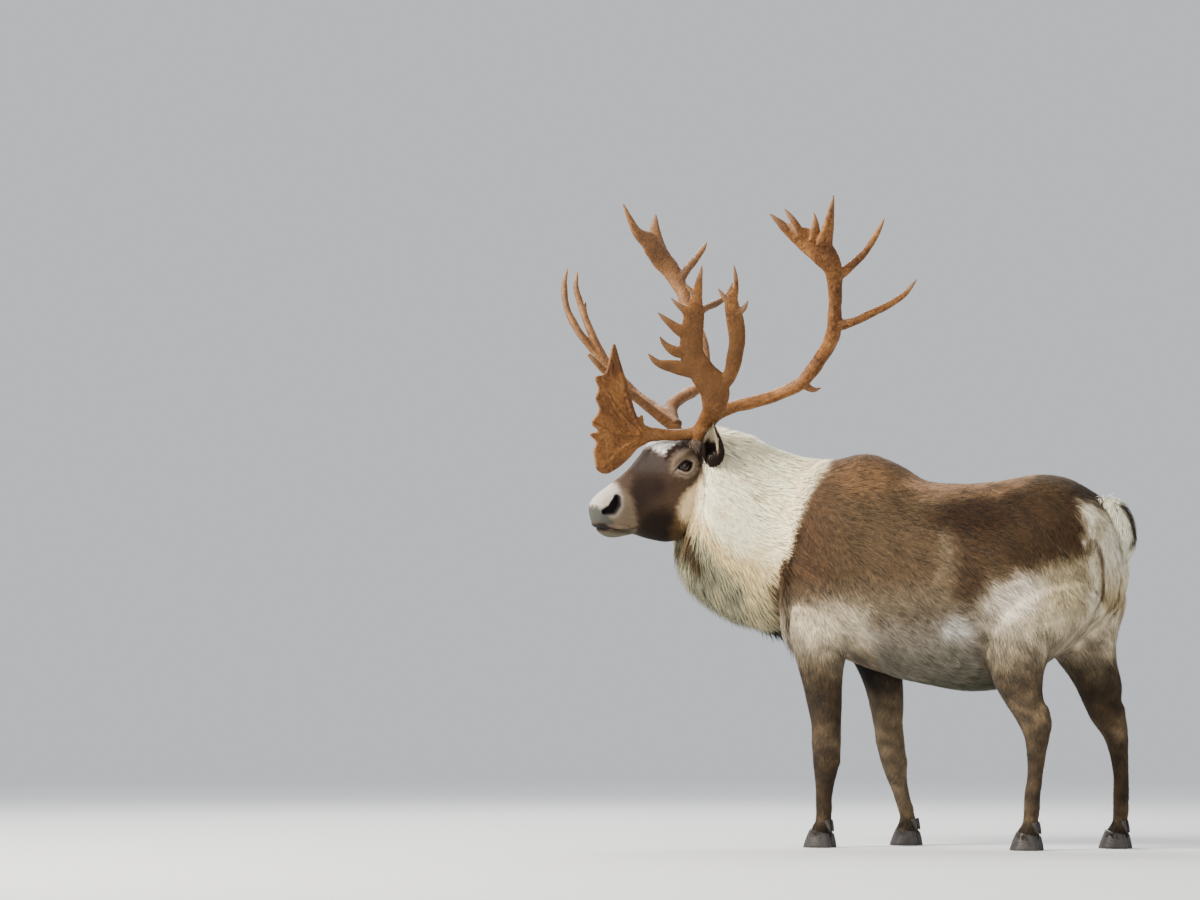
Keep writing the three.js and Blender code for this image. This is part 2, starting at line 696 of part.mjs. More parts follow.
function headNode(body) {
  let whole = body.intersect(beyond(headCutPoint, headCutNormal, clearance / 2));
  [1, -1].forEach((side) => {
    const folds = [upperLip, lowerLip, browRidge].map((rows) => faceTube(rows, side));
    whole = join(whole, ball(eyeCentre(side), eye.radius + eye.lid), ...folds);
  });
  [1, -1].forEach((side) => {
    whole = whole.subtract(ball(eyeCentre(side), eye.radius + clearance));
    whole = whole.subtract(eyeOpening(side));
    whole = whole.subtract(faceTube(nostril, side));
  });
  return whole.subtract(mouthSlit());
}

// Cupped ear: a leaf-shaped tube with a smaller one taken out of its front
function earSolid(side) {
  const base = headPoint(ear.base[0], ear.base[1] * side, ear.base[2]);
  const tip = headPoint(ear.tip[0], ear.tip[1] * side, ear.tip[2]);
  const axis = tip.clone().sub(base).normalize();
  const across = headDirection([ear.faces[0], ear.faces[1] * side, ear.faces[2]]).cross(axis).normalize();
  const front = axis.clone().cross(across);
  const leaf = (scale, shift, from) => loft(steps(6).map((share) => {
    const place = share * (ear.sizes.length - 1);
    const i = Math.min(Math.floor(place), ear.sizes.length - 2);
    const next = ear.sizes[i + 1];
    const size = ear.sizes[i].map((a, k) => THREE.MathUtils.lerp(a, next[k], place - i) * scale);
    const middle = base.clone().lerp(tip, from + share * (1 - from) * (scale < 1 ? 0.97 : 1));
    middle.addScaledVector(front, shift * size[1]);
    return ovalRing(middle, across, front, size[0], size[1], size[1], [0, 0], 8);
  }));
  return leaf(1, 0, 0).subtract(leaf(ear.wall, 0.75, 0.2));
}

function tailSolid() {
  const rows = tail.map(([x, z]) => new THREE.Vector3(x, 0, z));
  const curve = new THREE.CatmullRomCurve3(rows);
  return loft(steps(7).map((share) => {
    const place = share * (tail.length - 1);
    const i = Math.min(Math.floor(place), tail.length - 2);
    const half = THREE.MathUtils.lerp(tail[i][2], tail[i + 1][2], place - i);
    const depth = THREE.MathUtils.lerp(tail[i][3], tail[i + 1][3], place - i);
    const out = curve.getTangent(share).cross(axisY).negate();
    return ovalRing(curve.getPoint(share), axisY, out, half, depth, depth, [0.1, 0], 10);
  }));
}

function footPlace(limb) {
  const [, , , out, left, right] = limb.table[0];
  return new THREE.Vector3(limb.side > 0 ? left : right, -limb.side * out, 0);
}

function coronet(limb, offset) {
  const normal = new THREE.Vector3(coronetSlope, 0, 1).normalize();
  return beyond(footPlace(limb).setZ(coronetHeight), normal, offset);
}

// One half of the cloven hoof: flat sole, sloping wall, cut off along the coronet
function clawSolid(limb, hand) {
  const foot = footPlace(limb);
  const whole = loft(steps(3).map((share) => {
    const z = share * (coronetHeight + 20);
    const length = THREE.MathUtils.lerp(claw.halfLength, claw.topHalfLength, share ** 0.8);
    const x = foot.x - 14 + share * claw.topShift;
    const middle = new THREE.Vector3(x, foot.y + hand * claw.apart, z);
    const width = claw.halfWidth * (1 - 0.08 * share);
    return steps(10).slice(0, 10).map((turn) => {
      const angle = turn * 2 * Math.PI;
      const reach = Math.cos(angle) * length;
      const toe = THREE.MathUtils.clamp(-reach / length, 0, 1);
      const inward = -hand * toe ** 2 * width * 0.45;
      const side = Math.sin(angle) * width * (1 - 0.35 * toe ** 3);
      return middle.clone().add(new THREE.Vector3(reach, side + inward, 0));
    });
  }));
  return whole.subtract(coronet(limb, -clearance / 2));
}

function dewclawSolid(limb, hand) {
  const foot = footPlace(limb);
  return loft(steps(3).map((share) => {
    const radius = dewclaw.radius * (1 - 0.75 * share ** 2);
    const x = foot.x + 26 + 22 * share;
    const y = foot.y + hand * (dewclaw.apart - 4 * share);
    const middle = new THREE.Vector3(x, y, dewclaw.height - dewclaw.length * share);
    const slope = new THREE.Vector3(0.9, 0, 0.43);
    return ovalRing(middle, axisY, slope, radius, radius, radius, [0, 0], 7);
  }));
}

const reindeer = new THREE.Group();
const standing = new THREE.Group();
reindeer.add(standing);

function add(name, whole, look) {
  const mesh = largest(whole).getMesh();
  const geometry = new THREE.BufferGeometry();
  geometry.setAttribute('position', new THREE.BufferAttribute(new Float32Array(mesh.vertProperties), 3));
  geometry.setIndex(new THREE.BufferAttribute(new Uint32Array(mesh.triVerts), 1));
  geometry.computeVertexNormals();
  const node = new THREE.Mesh(geometry, new THREE.MeshStandardMaterial(look));
  node.name = name;
  standing.add(node);
}

function addBody() {
  const uppers = limbs.map(upperLimb);
  const whole = join(bareSkin(), ...uppers);
  const ahead = acrossNormal(neckCut).negate();
  const front = beyond(neckCut[0], ahead, clearance / 2);
  const back = beyond(neckCut[0], ahead, -clearance / 2);
  const pastHead = beyond(headCutPoint, headCutNormal, -clearance / 2);
  let torso = whole.subtract(back);
  limbs.forEach((limb) => {
    torso = torso.subtract(lowerLimb(limb, clearance));
  });
  add('torso', torso, coatBrown);
  const coat = join(...maneSolids()).subtract(join(torso, headNode(whole.intersect(front))));
  add('neck', join(whole, coat).intersect(front).subtract(pastHead), maneCream);
  add('head', headNode(whole.intersect(front)), faceBrown);
}

function addLegs() {
  limbs.forEach((limb) => {
    const shape = lowerLimb(limb).intersect(coronet(limb, clearance / 2));
    add(`leg_${limb.name}`, shape, legBrown);
    const around = legSolid(limb.table, limb.side, clearance);
    [['outer', -limb.side], ['inner', limb.side]].forEach(([where, hand]) => {
      add(`hoof_${limb.name}_${where}`, clawSolid(limb, hand), hornBlack);
      add(`dewclaw_${limb.name}_${where}`, dewclawSolid(limb, hand).subtract(around), hornBlack);
    });
  });
}

const lowBeamTube = (side, grow) => tine(beam.slice(0, beamFork + 2), side, beamFlat, grow);

function bezTubes(side, grow) {
  const parts = side > 0 ? [leftBez, ...leftBezBranches] : [rightBez, ...rightBezBranches];
  return tines(parts, side, bezFlat, grow);
}

function addAntler(name, side, around) {
  const [point, along] = beamPlane(side);
  const low = (grow) => lowBeamTube(side, grow);
  const lowBeam = join(low(0).subtract(beyond(point, along, -clearance / 2)), tine(spur, side, beamFlat));
  const beamRoom = join(low(clearance), tine(spur, side, beamFlat, clearance));
  const crownParts = [beam.slice(beamFork - 1), ...crownTines, ...(side > 0 ? leftCrownTines : [])];
  const above = (grow) => beyond(point, along, clearance / 2 - grow);
  const crown = (grow) => tines(crownParts, side, beamFlat, grow).intersect(above(grow));
  const forkRoom = join(beamRoom, crown(clearance));
  const shovel = () => join(tine(shovelStem, side, [0, 1, 0]), shovelBlade());
  const brow = side > 0 ? shovel() : tine(rightBrow, side, [0, 1, 0]);
  const named = (part) => `antler_${name}_${part}`;
  add(named('beam'), lowBeam.subtract(around), antlerBrown);
  add(named('crown'), crown(0), antlerBrown);
  add(named('rear_tine_low'), tine(rearTineLow, side, beamFlat).subtract(forkRoom), antlerBrown);
  add(named('rear_tine_high'), tine(rearTineHigh, side, beamFlat).subtract(forkRoom), antlerBrown);
  add(named('bez'), bezTubes(side, 0).subtract(join(beamRoom, around)), antlerBrown);
  add(named('brow'), brow.subtract(join(beamRoom, around, bezTubes(side, clearance))), antlerBrown);
}

const bodyRoom = skin(clearance);
addBody();
addLegs();
add('tail', tailSolid().subtract(bodyRoom), tailWhite);
Object.entries(toWorld).forEach(([name, side]) => {
  add(`eye_${name}`, ball(eyeCentre(side), eye.radius), eyeBlack);
  const earRoom = join(bodyRoom, lowBeamTube(side, clearance), bezTubes(side, clearance));
  add(`ear_${name}`, earSolid(side).subtract(earRoom), earGrey);
  addAntler(name, side, bodyRoom);
});

// The origin is under the middle of the whole animal, on the floor
const box = new THREE.Box3().setFromObject(reindeer);
const centre = box.getCenter(new THREE.Vector3());
standing.position.set(-centre.x, -centre.y, -box.min.z);

export default reindeer;
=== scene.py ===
# Bull woodland reindeer: skin, coat, antlers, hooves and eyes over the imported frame.
# Lengths are millimetres on the body's own axes: x from head to tail, left side at -y, z up.
import math
import time

import bpy
import numpy as np
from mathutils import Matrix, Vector
from mathutils.geometry import tessellate_polygon


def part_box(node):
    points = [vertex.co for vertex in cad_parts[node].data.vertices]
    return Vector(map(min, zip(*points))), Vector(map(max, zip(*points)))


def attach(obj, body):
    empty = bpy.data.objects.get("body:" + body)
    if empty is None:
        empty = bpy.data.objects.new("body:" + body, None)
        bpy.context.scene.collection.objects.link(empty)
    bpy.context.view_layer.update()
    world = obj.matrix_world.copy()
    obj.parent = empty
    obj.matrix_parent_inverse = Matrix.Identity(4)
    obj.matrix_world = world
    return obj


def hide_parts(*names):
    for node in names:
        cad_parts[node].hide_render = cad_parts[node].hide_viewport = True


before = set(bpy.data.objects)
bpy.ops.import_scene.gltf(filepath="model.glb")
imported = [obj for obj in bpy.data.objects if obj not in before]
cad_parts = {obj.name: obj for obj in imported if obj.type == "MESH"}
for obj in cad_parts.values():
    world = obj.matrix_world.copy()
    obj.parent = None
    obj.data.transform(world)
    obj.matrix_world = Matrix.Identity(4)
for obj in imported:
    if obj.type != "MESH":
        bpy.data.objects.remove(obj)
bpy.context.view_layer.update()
began = time.time()


def report(stage):
    # prints the seconds so far and the stage just done
    print("%5.1f s  %s" % (time.time() - began, stage))


def table(rows):
    # rows of numbers as one array of floats
    return np.array(rows, float)


body = {
    # x, top, bottom, half width, height of the widest point
    "trunk": table([
        [-560, 1040, 760, 60, 900], [-520, 1134, 656, 142, 880], [-450, 1192, 612, 182, 862],
        [-360, 1211, 580, 204, 846], [-270, 1223, 548, 214, 840], [-180, 1192, 519, 222, 820],
        [-80, 1137, 497, 230, 800], [40, 1123, 477, 236, 790], [140, 1125, 480, 233, 800],
        [220, 1135, 505, 223, 830], [300, 1144, 555, 214, 850], [380, 1132, 605, 205, 880],
        [450, 1096, 655, 190, 890], [505, 1052, 700, 164, 890], [540, 1000, 735, 128, 875],
        [558, 945, 790, 80, 865], [564, 900, 830, 34, 865]]),
    # row, nape x y z, lower edge of the mane x y z, half width
    "neck": table([
        [0, -400, 0, 1206, -450, 0, 656, 176], [1, -497, -3, 1224, -596, -20, 640, 172],
        [2, -591, -20, 1258, -668, -52, 650, 168], [3, -664, -50, 1294, -738, -88, 684, 162],
        [4, -722, -78, 1308, -798, -132, 736, 150], [5, -766, -102, 1304, -830, -162, 800, 134],
        [6, -800, -124, 1293, -828, -168, 868, 114], [7, -824, -142, 1276, -816, -160, 925, 92]]),
    "coreDepth": {"fringe": 62, "side": 20, "nape": 8},
    "coatDepth": 7,
    "voxel": 10.0,
    # lumps and hollows on both sides: x, y, z, reach x y z, lift
    "forms": [
        [-335, 200, 1010, 70, 90, 150, 7], [-440, 160, 850, 60, 70, 80, 8],
        [-205, 220, 900, 45, 90, 150, -7], [-300, 190, 760, 80, 90, 70, 6],
        [335, 130, 1110, 60, 60, 40, 9], [225, 215, 975, 60, 80, 70, -9],
        [400, 190, 870, 110, 90, 110, 7], [560, 0, 870, 70, 16, 130, -16],
        [470, 110, 1060, 60, 60, 50, 6], [60, 225, 760, 160, 90, 90, 5]],
}

legs = {
    # z, half length, half width, distance from the middle, x left, x right
    "fore": table([
        [36, 31, 27, 155, -362, -195], [75, 27, 26, 155, -360, -199], [110, 25, 25, 155, -361, -208],
        [160, 29, 27, 156, -358, -223], [210, 36, 31, 157, -354, -237], [260, 43, 36, 158, -350, -248],
        [310, 46, 40, 158, -348, -256], [380, 49, 41, 157, -350, -266], [440, 57, 45, 155, -356, -270],
        [500, 65, 50, 151, -364, -278], [560, 78, 56, 146, -371, -292], [620, 95, 62, 138, -373, -314],
        [690, 107, 62, 126, -376, -342], [770, 108, 54, 113, -370, -358], [850, 92, 40, 96, -352, -352]]),
    "hind": table([
        [36, 32, 28, 145, 303, 489], [75, 26, 25, 145, 304, 493], [110, 25, 24, 145, 306, 494],
        [160, 27, 25, 146, 311, 496], [230, 29, 27, 147, 321, 496], [290, 32, 30, 147, 325, 490],
        [340, 41, 33, 147, 327, 481], [390, 57, 37, 146, 318, 460], [440, 62, 43, 144, 289, 441],
        [500, 77, 55, 140, 268, 428], [560, 92, 69, 133, 264, 402], [617, 119, 82, 126, 279, 374],
        [662, 152, 90, 120, 303, 352], [746, 192, 92, 113, 322, 338], [812, 196, 84, 108, 322, 330],
        [880, 172, 68, 96, 330, 330], [940, 124, 48, 86, 340, 340]]),
    # knots of bone and tendon: z, forward, outward, reach, lift
    "foreKnots": [[318, 1, 0, 26, 3], [262, -1, 0, 18, 4], [300, 0, 1, 20, 2.5], [118, -1, 0, 20, 4],
                  [112, 0, 1, 14, 2], [190, 0, 1, 40, -2.5], [190, 0, -1, 40, -2.5]],
    "hindKnots": [[426, -1, 0, 20, 8], [478, -0.55, 1, 30, -6], [478, -0.55, -1, 30, -6], [350, 0, 1, 22, 3],
                  [350, 0, -1, 22, 3], [440, -1, 1, 30, -3], [118, -1, 0, 20, 4], [230, 0, 1, 50, -2.5],
                  [230, 0, -1, 50, -2.5], [470, 0, 1, 30, -4]],
}
limbs = [
    {"name": "front_left", "rows": legs["fore"], "side": 1, "knots": legs["foreKnots"]},
    {"name": "front_right", "rows": legs["fore"], "side": -1, "knots": legs["foreKnots"]},
    {"name": "hind_left", "rows": legs["hind"], "side": 1, "knots": legs["hindKnots"]},
    {"name": "hind_right", "rows": legs["hind"], "side": -1, "knots": legs["hindKnots"]},
]

head = {
    # along the face, top, throat side, half width, how far down it is widest
    "rows": table([
        [-115, -40, -185, 60, 0.45], [-60, -4, -245, 78, 0.42], [0, 5, -298, 84, 0.36],
        [60, 14, -302, 86, 0.34], [112, 26, -300, 85, 0.33], [150, 27, -296, 78, 0.36],
        [185, 14, -290, 70, 0.42], [215, 2, -280, 64, 0.44], [245, -10, -262, 58, 0.46],
        [280, -19, -238, 53, 0.47], [315, -26, -212, 50, 0.46], [347, -32, -203, 50, 0.46],
        [376, -37, -196, 49, 0.46], [405, -46, -182, 44, 0.48], [424, -60, -160, 33, 0.5],
        [435, -90, -130, 14, 0.5]]),
    "place": (-814, -140, 1290), "yaw": 57, "roll": 5.1, "pitch": 25,
    "coatDepth": 3,
    "voxel": 3.45,
    "nostril": [[402, 44, -92, 9], [378, 50, -94, 15], [358, 51, -82, 15], [346, 50, -69, 9]],
    "nostrilDepth": 20,
    "mouth": [[446, -120], [428, -138], [405, -155], [388, -162], [362, -176], [338, -187], [322, -192]],
    "mouthDepth": 5,
    "upperLip": [[424, 14, -122, 12], [404, 31, -142, 12], [370, 39, -158, 11], [336, 41, -178, 7]],
    "lowerLip": [[412, 12, -152, 11], [390, 28, -168, 11], [358, 36, -184, 9], [332, 40, -194, 6]],
    "browRidge": [[56, 66, -36, 9], [88, 73, -32, 14], [122, 69, -40, 14], [152, 60, -62, 7]],
    "pedicle": [[4, 34, -66, 36], [8, 46, -40, 30], [11, 57, -18, 23], [11, 62, -8, 18]],
    # lumps and hollows on both sides: along, out, up, reach, lift
    "forms": [
        [62, 84, -195, 55, 4], [190, 62, -118, 34, -4], [165, 66, -92, 22, 3], [30, 78, -70, 26, -4],
        [372, 50, -60, 20, 3], [392, 46, -118, 16, 4], [240, 50, -70, 40, -3], [300, 48, -150, 34, -2.5],
        [140, 30, 20, 30, 3], [355, 47, -122, 14, 2.5]],
    "mouthCreases": [[338, -120, 290, -150, 1.2], [334, -140, 296, -170, 1.2]],
}

eye = {"along": 101, "out": 65, "up": -66, "radius": 21.5, "lid": 5.5, "length": 52, "height": 31, "slant": 5,
       "shift": -2}

ear = {"base": (-32, 90, -92), "tip": (19, 166, 30), "faces": (0.97, 0.1, -0.3),
       "sizes": table([[24, 24], [37, 30], [45, 30], [41, 24], [28, 15], [9, 7]]),
       "wall": 0.84, "rightDrop": 34, "around": 25}

# Middle line x z, half width, half depth
tail = {"rows": table([[492, 1054, 26, 20], [524, 1034, 36, 24], [550, 1000, 40, 24],
                       [563, 960, 38, 22], [566, 920, 27, 17], [560, 888, 8, 8]]), "coatDepth": 11}


def unit(v):
    # each row divided by its own length
    return v / np.maximum(np.linalg.norm(v, axis=-1, keepdims=True), 1e-9)


def smooth(x, low, high):
    # 0 below low and 1 above high, with an even S between
    t = np.clip((x - low) / (high - low), 0, 1)
    return t * t * (3 - 2 * t)


def mix(a, b, share):
    # a at share 0 and b at share 1, on a straight line between
    return a + (b - a) * share


def dot(a, b):
    # sum of the products along the last axis
    return (a * b).sum(-1)


def rowsAt(rows, values):
    # cubic through a table's rows with middle slopes, held at both ends
    x = rows[:, 0]
    values = np.asarray(values, float)
    i = np.clip(np.searchsorted(x, values) - 1, 0, len(x) - 2)
    span = (x[i + 1] - x[i])[..., None]
    u = np.clip((values - x[i])[..., None] / span, 0, 1)
    before = np.maximum(np.arange(len(x)) - 1, 0)
    after = np.minimum(np.arange(len(x)) + 1, len(x) - 1)
    slope = (rows[after] - rows[before]) / (x[after] - x[before])[:, None]
    a, b = rows[i], rows[i + 1]
    bend = (1 - u) * span * slope[i] - u * span * slope[i + 1] + (2 * u - 1) * (b - a)
    return a + u * (b - a) + u * (1 - u) * bend


def waves(points, size, seed, count=10):
    # sum of plane waves in chance directions, about -1 to 1, with features about as wide as size
    draw = np.random.default_rng(seed)
    ways = unit(draw.normal(size=(count, 3))) * 2 * math.pi / size * draw.uniform(0.6, 1.5, (count, 1))
    turned = points @ ways.T + draw.uniform(0, 2 * math.pi, count)
    return np.sin(turned).sum(1) * 1.1 / math.sqrt(count)


def oval(angles, half, above, below, narrow):
    # edge of a section, squarer than an ellipse and narrowed towards its top and bottom
    c, s = np.cos(angles), np.sin(angles)
    waist = 1 - np.where(s > 0, narrow[0], narrow[1]) * np.abs(s)
    across = np.sign(c) * np.abs(c) ** 0.9 * half * waist
    rise = np.sign(s) * np.abs(s) ** 0.92 * np.where(s > 0, above, below)
    return across, rise


# Head frames: forward, left and up of the skull, then the same pitched along the face
yaw, roll, pitch = (math.radians(head[key]) for key in ("yaw", "roll", "pitch"))
forward = np.array([-math.cos(yaw), -math.sin(yaw), 0.0])
levelLeft = np.cross([0, 0, 1.0], forward)
leftward = levelLeft * math.cos(roll) - np.cross(forward, levelLeft) * math.sin(roll)
upward = np.cross(forward, leftward)
faceAlong = forward * math.cos(pitch) - upward * math.sin(pitch)
faceUp = forward * math.sin(pitch) + upward * math.cos(pitch)
headPlace = np.array(head["place"], float)
axisY = np.array([0, 1.0, 0])
axisZ = np.array([0, 0, 1.0])


def inFrame(a, b, c, ways):
    # the head's place plus a, b and c times three unit ways
    a, b, c = (np.asarray(k, float)[..., None] for k in (a, b, c))
    return headPlace + a * ways[0] + b * ways[1] + c * ways[2]


def headPoint(f, out, up):
    # a point by its distances along the skull's forward, left and up
    return inFrame(f, out, up, (forward, leftward, upward))


def facePoint(along, out, up):
    # a point by its distances along the pitched face, to its left and up from it
    return inFrame(along, out, up, (faceAlong, leftward, faceUp))


def faceCoords(points):
    # along, out and up of each point in the face's frame
    offset = points - headPlace
    return offset @ faceAlong, offset @ leftward, offset @ faceUp


# The frame's own origin, found from the left eye
lowEye, highEye = (np.array(corner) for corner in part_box("eye_left"))
origin = (lowEye + highEye) / 2 - facePoint(eye["along"], eye["out"], eye["up"]) * 0.001

# A surface is its points, its four-sided faces and its three-sided faces


def shell(rings):
    # rings of equal count joined into a closed surface, with a point in the middle of each end
    count, around = rings.shape[:2]
    j = np.arange(around)
    k = (j + 1) % around
    low = np.arange(count - 1)[:, None] * around
    quads = np.stack([low + j, low + k, low + k + around, low + j + around], -1).reshape(-1, 4)
    total = count * around
    caps = [np.stack([np.full(around, total), k, j], -1),
            np.stack([np.full(around, total + 1), j + total - around, k + total - around], -1)]
    points = np.concatenate([rings.reshape(-1, 3), rings[[0, -1]].mean(1)])
    return outward(points, quads, np.concatenate(caps))


def outward(points, quads, tris):
    # turns a closed surface's faces to point out, by the sign of its volume
    middle = points - points.mean(0)
    a, b, c, d = (middle[quads[:, i]] for i in range(4))
    volume = dot(a, np.cross(b, c)).sum() + dot(a, np.cross(c, d)).sum()
    a, b, c = (middle[tris[:, i]] for i in range(3))
    volume += dot(a, np.cross(b, c)).sum()
    if volume < 0:
        return points, quads[:, ::-1], tris[:, ::-1]
    return points, quads, tris


def joined(parts):
    # several surfaces as one, face numbers shifted by the points that come before
    shift = np.cumsum([0] + [len(points) for points, quads, tris in parts])
    return (np.concatenate([part[0] for part in parts]),
            np.concatenate([part[1] + at for part, at in zip(parts, shift)]),
            np.concatenate([part[2] + at for part, at in zip(parts, shift)]))


def bareMesh(name, surface, place):
    # a surface in millimetres as a mesh in metres, moved to its place
    points, quads, tris = surface
    mesh = bpy.data.meshes.new(name)
    mesh.vertices.add(len(points))
    mesh.vertices.foreach_set("co", (points * 0.001 + place).astype(np.float32).ravel())
    loops = np.concatenate([quads.ravel(), tris.ravel()]).astype(np.int32)
    starts = np.concatenate([np.arange(len(quads)) * 4, len(quads) * 4 + np.arange(len(tris)) * 3])
    mesh.loops.add(len(loops))
    mesh.loops.foreach_set("vertex_index", loops)
    mesh.polygons.add(len(starts))
    mesh.polygons.foreach_set("loop_start", starts.astype(np.int32))
    mesh.update(calc_edges=True)
    return mesh


def fused(parts, voxel):
    # closed shells remeshed into one even surface of four-sided faces
    mesh = bareMesh("shells", joined(parts), np.zeros(3))
    shells = bpy.data.objects.new("shells", mesh)
    bpy.context.scene.collection.objects.link(shells)
    blendIn = shells.modifiers.new("fuse", "REMESH")
    blendIn.mode = "VOXEL"
    blendIn.voxel_size = voxel * 0.001
    made = shells.evaluated_get(bpy.context.evaluated_depsgraph_get()).to_mesh()
    points = np.empty(len(made.vertices) * 3, np.float32)
    made.vertices.foreach_get("co", points)
    corners = np.empty(len(made.loops), np.int32)
    made.loops.foreach_get("vertex_index", corners)
    points = points.reshape(-1, 3).astype(float) * 1000
    bpy.data.objects.remove(shells)
    bpy.data.meshes.remove(mesh)
    return points, corners.reshape(-1, 4)


def relaxed(points, quads, rounds, keep=0.0):
    # each point moves towards the middle of its neighbours, then partly back, so that size is kept
    a = quads.ravel()
    b = np.roll(quads, -1, axis=1).ravel()
    near = np.bincount(a, minlength=len(points)) + np.bincount(b, minlength=len(points))
    for step in range(rounds * 2):
        total = [np.bincount(a, points[b, k], len(points)) + np.bincount(b, points[a, k], len(points))
                 for k in range(3)]
        middle = np.stack(total, -1) / near[:, None]
        points = points + (middle - points) * (0.6 if step % 2 == 0 else -0.62 * keep)
    return points


def normalsOf(points, quads, tris=np.zeros((0, 3), int)):
    # each point's way out: the sum of its faces' cross products
    total = np.zeros_like(points)
    for faces in (quads, tris):
        if len(faces):
            last = 3 if faces.shape[1] == 4 else 0
            first = points[faces[:, 2]] - points[faces[:, 0]]
            second = points[faces[:, last]] - points[faces[:, 1]]
            way = np.cross(first, second)
            for i in range(faces.shape[1]):
                total += np.stack([np.bincount(faces[:, i], way[:, k], len(points)) for k in range(3)], -1)
    return unit(total)


def trunkShell(inset):
    # ovals across the trunk at even steps of x, sizes from the table's cubic, less the inset
    share = np.linspace(0, 1, 90)
    x = mix(body["trunk"][0, 0], body["trunk"][-1, 0], share)
    _, top, bottom, half, widest = rowsAt(body["trunk"], x).T[:, :, None]
    angles = np.linspace(0, 2 * math.pi, 72, endpoint=False)[None]
    across, rise = oval(angles, half - inset, top - widest - inset, widest - bottom - inset, (0.12, 0.08))
    ahead = (x + inset * (1 - 2 * share))[:, None] + 0 * across
    return shell(np.stack([ahead, across, widest + rise], -1))


def neckSection(share):
    # middle, side, up, reach and half width of the neck at each share of its length
    row = rowsAt(body["neck"], np.asarray(share) * 7)
    top, low = row[..., 1:4], row[..., 4:7]
    up = unit(top - low)
    turned = mix(axisY, -leftward, np.asarray(share)[..., None])
    side = unit(-np.cross(np.cross(turned, up), up))
    reach = np.linalg.norm(top - low, axis=-1)
    return low + (top - low) * 0.46, side, up, reach, row[..., 7]


def neckPoint(share, angle, grow):
    # a point on the oval of a section of the neck, grown outwards
    middle, side, up, reach, half = neckSection(share)
    across, rise = oval(angle, half + grow, reach * 0.54 + grow, reach * 0.46 + grow, (0.38, 0.25))
    return middle + across[..., None] * side + rise[..., None] * up


def coreDepth(share, angle):
    # depth of the core under the coat's outline: most at the fringe, none where the head begins
    depths = body["coreDepth"]
    down = np.maximum(-np.sin(angle), 0)
    high = np.maximum(np.sin(angle), 0)
    depth = mix(mix(depths["side"], depths["fringe"], down ** 2), depths["nape"], high)
    return depth * smooth(1 - share, 0.02, 0.3)


def neckShell(start, end, extra):
    # ovals of the neck between two shares, sunk by the core's depth and an extra
    share, angle = np.meshgrid(np.linspace(start, end, 40), np.linspace(0, 2 * math.pi, 72, endpoint=False),
                               indexing="ij")
    return shell(neckPoint(share, angle, -coreDepth(share, angle) - extra(share)))


def legShell(limb, inset):
    # level ovals up the leg, sizes from the table's cubic, flared just above the hoof
    rows = limb["rows"]
    z = mix(rows[0, 0], rows[-1, 0], np.linspace(0, 1, 110) ** 1.1)
    _, length, width, out, left, right = rowsAt(rows, z).T[:, :, None]
    depth = inset(z)[:, None]
    flare = smooth(-z, -86, -50)[:, None]
    angles = np.linspace(0, 2 * math.pi, 40, endpoint=False)[None]
    across, rise = oval(angles, width + 14 * flare - depth, length - depth, length - depth, (0.1, 0.05))
    x = (left if limb["side"] > 0 else right) - 7 * flare + rise
    return shell(np.stack([x, across - limb["side"] * out, z[:, None] + 0 * x], -1))


def headShell(inset):
    # ovals along the face, sizes from the table's cubic, narrower low down at the cheek
    rows = head["rows"]
    share = np.linspace(0, 1, 120)
    along = mix(rows[0, 0], rows[-1, 0], share)
    _, top, bottom, half, widest = rowsAt(rows, along).T[:, :, None]
    height = top - bottom
    angles = np.linspace(0, 2 * math.pi, 96, endpoint=False)[None]
    cheek = np.clip(1 - along / 300, 0.1, 0.8)[:, None] * 0.4
    across, rise = oval(angles, half - inset, widest * height - inset, (1 - widest) * height - inset,
                        (0.12, cheek))
    ahead = (along + inset * (1 - 2 * share))[:, None] + 0 * across
    return shell(facePoint(ahead, across, top - widest * height + rise))


def ballShell(centre, radius):
    # a sphere from two angles
    v, u = np.meshgrid(np.linspace(0.02, math.pi - 0.02, 40), np.linspace(0, 2 * math.pi, 64, endpoint=False),
                       indexing="ij")
    return shell(centre + radius * np.stack([np.sin(v) * np.cos(u), np.sin(v) * np.sin(u), np.cos(v)], -1))


def splinePoints(points, places, power=0.5):
    # Catmull-Rom curve through points with centripetal spacing, at places counted in points
    ends = [2 * points[0] - points[1]], [2 * points[-1] - points[-2]]
    held = np.concatenate([ends[0], points, ends[1]])
    i = np.clip(places.astype(int), 0, len(points) - 2)
    w = (places - i)[:, None]
    p0, p1, p2, p3 = (held[i + k] for k in range(4))
    d0, d1, d2 = (np.maximum(np.linalg.norm(b - a, axis=1, keepdims=True), 1e-4) ** power
                  for a, b in ((p0, p1), (p1, p2), (p2, p3)))
    rise = ((p1 - p0) / d0 - (p2 - p0) / (d0 + d1) + (p2 - p1) / d1) * d1
    fall = ((p2 - p1) / d1 - (p3 - p1) / (d1 + d2) + (p3 - p2) / d2) * d1
    return (p1 + rise * w + (-3 * p1 + 3 * p2 - 2 * rise - fall) * w ** 2
            + (2 * p1 - 2 * p2 + rise + fall) * w ** 3)


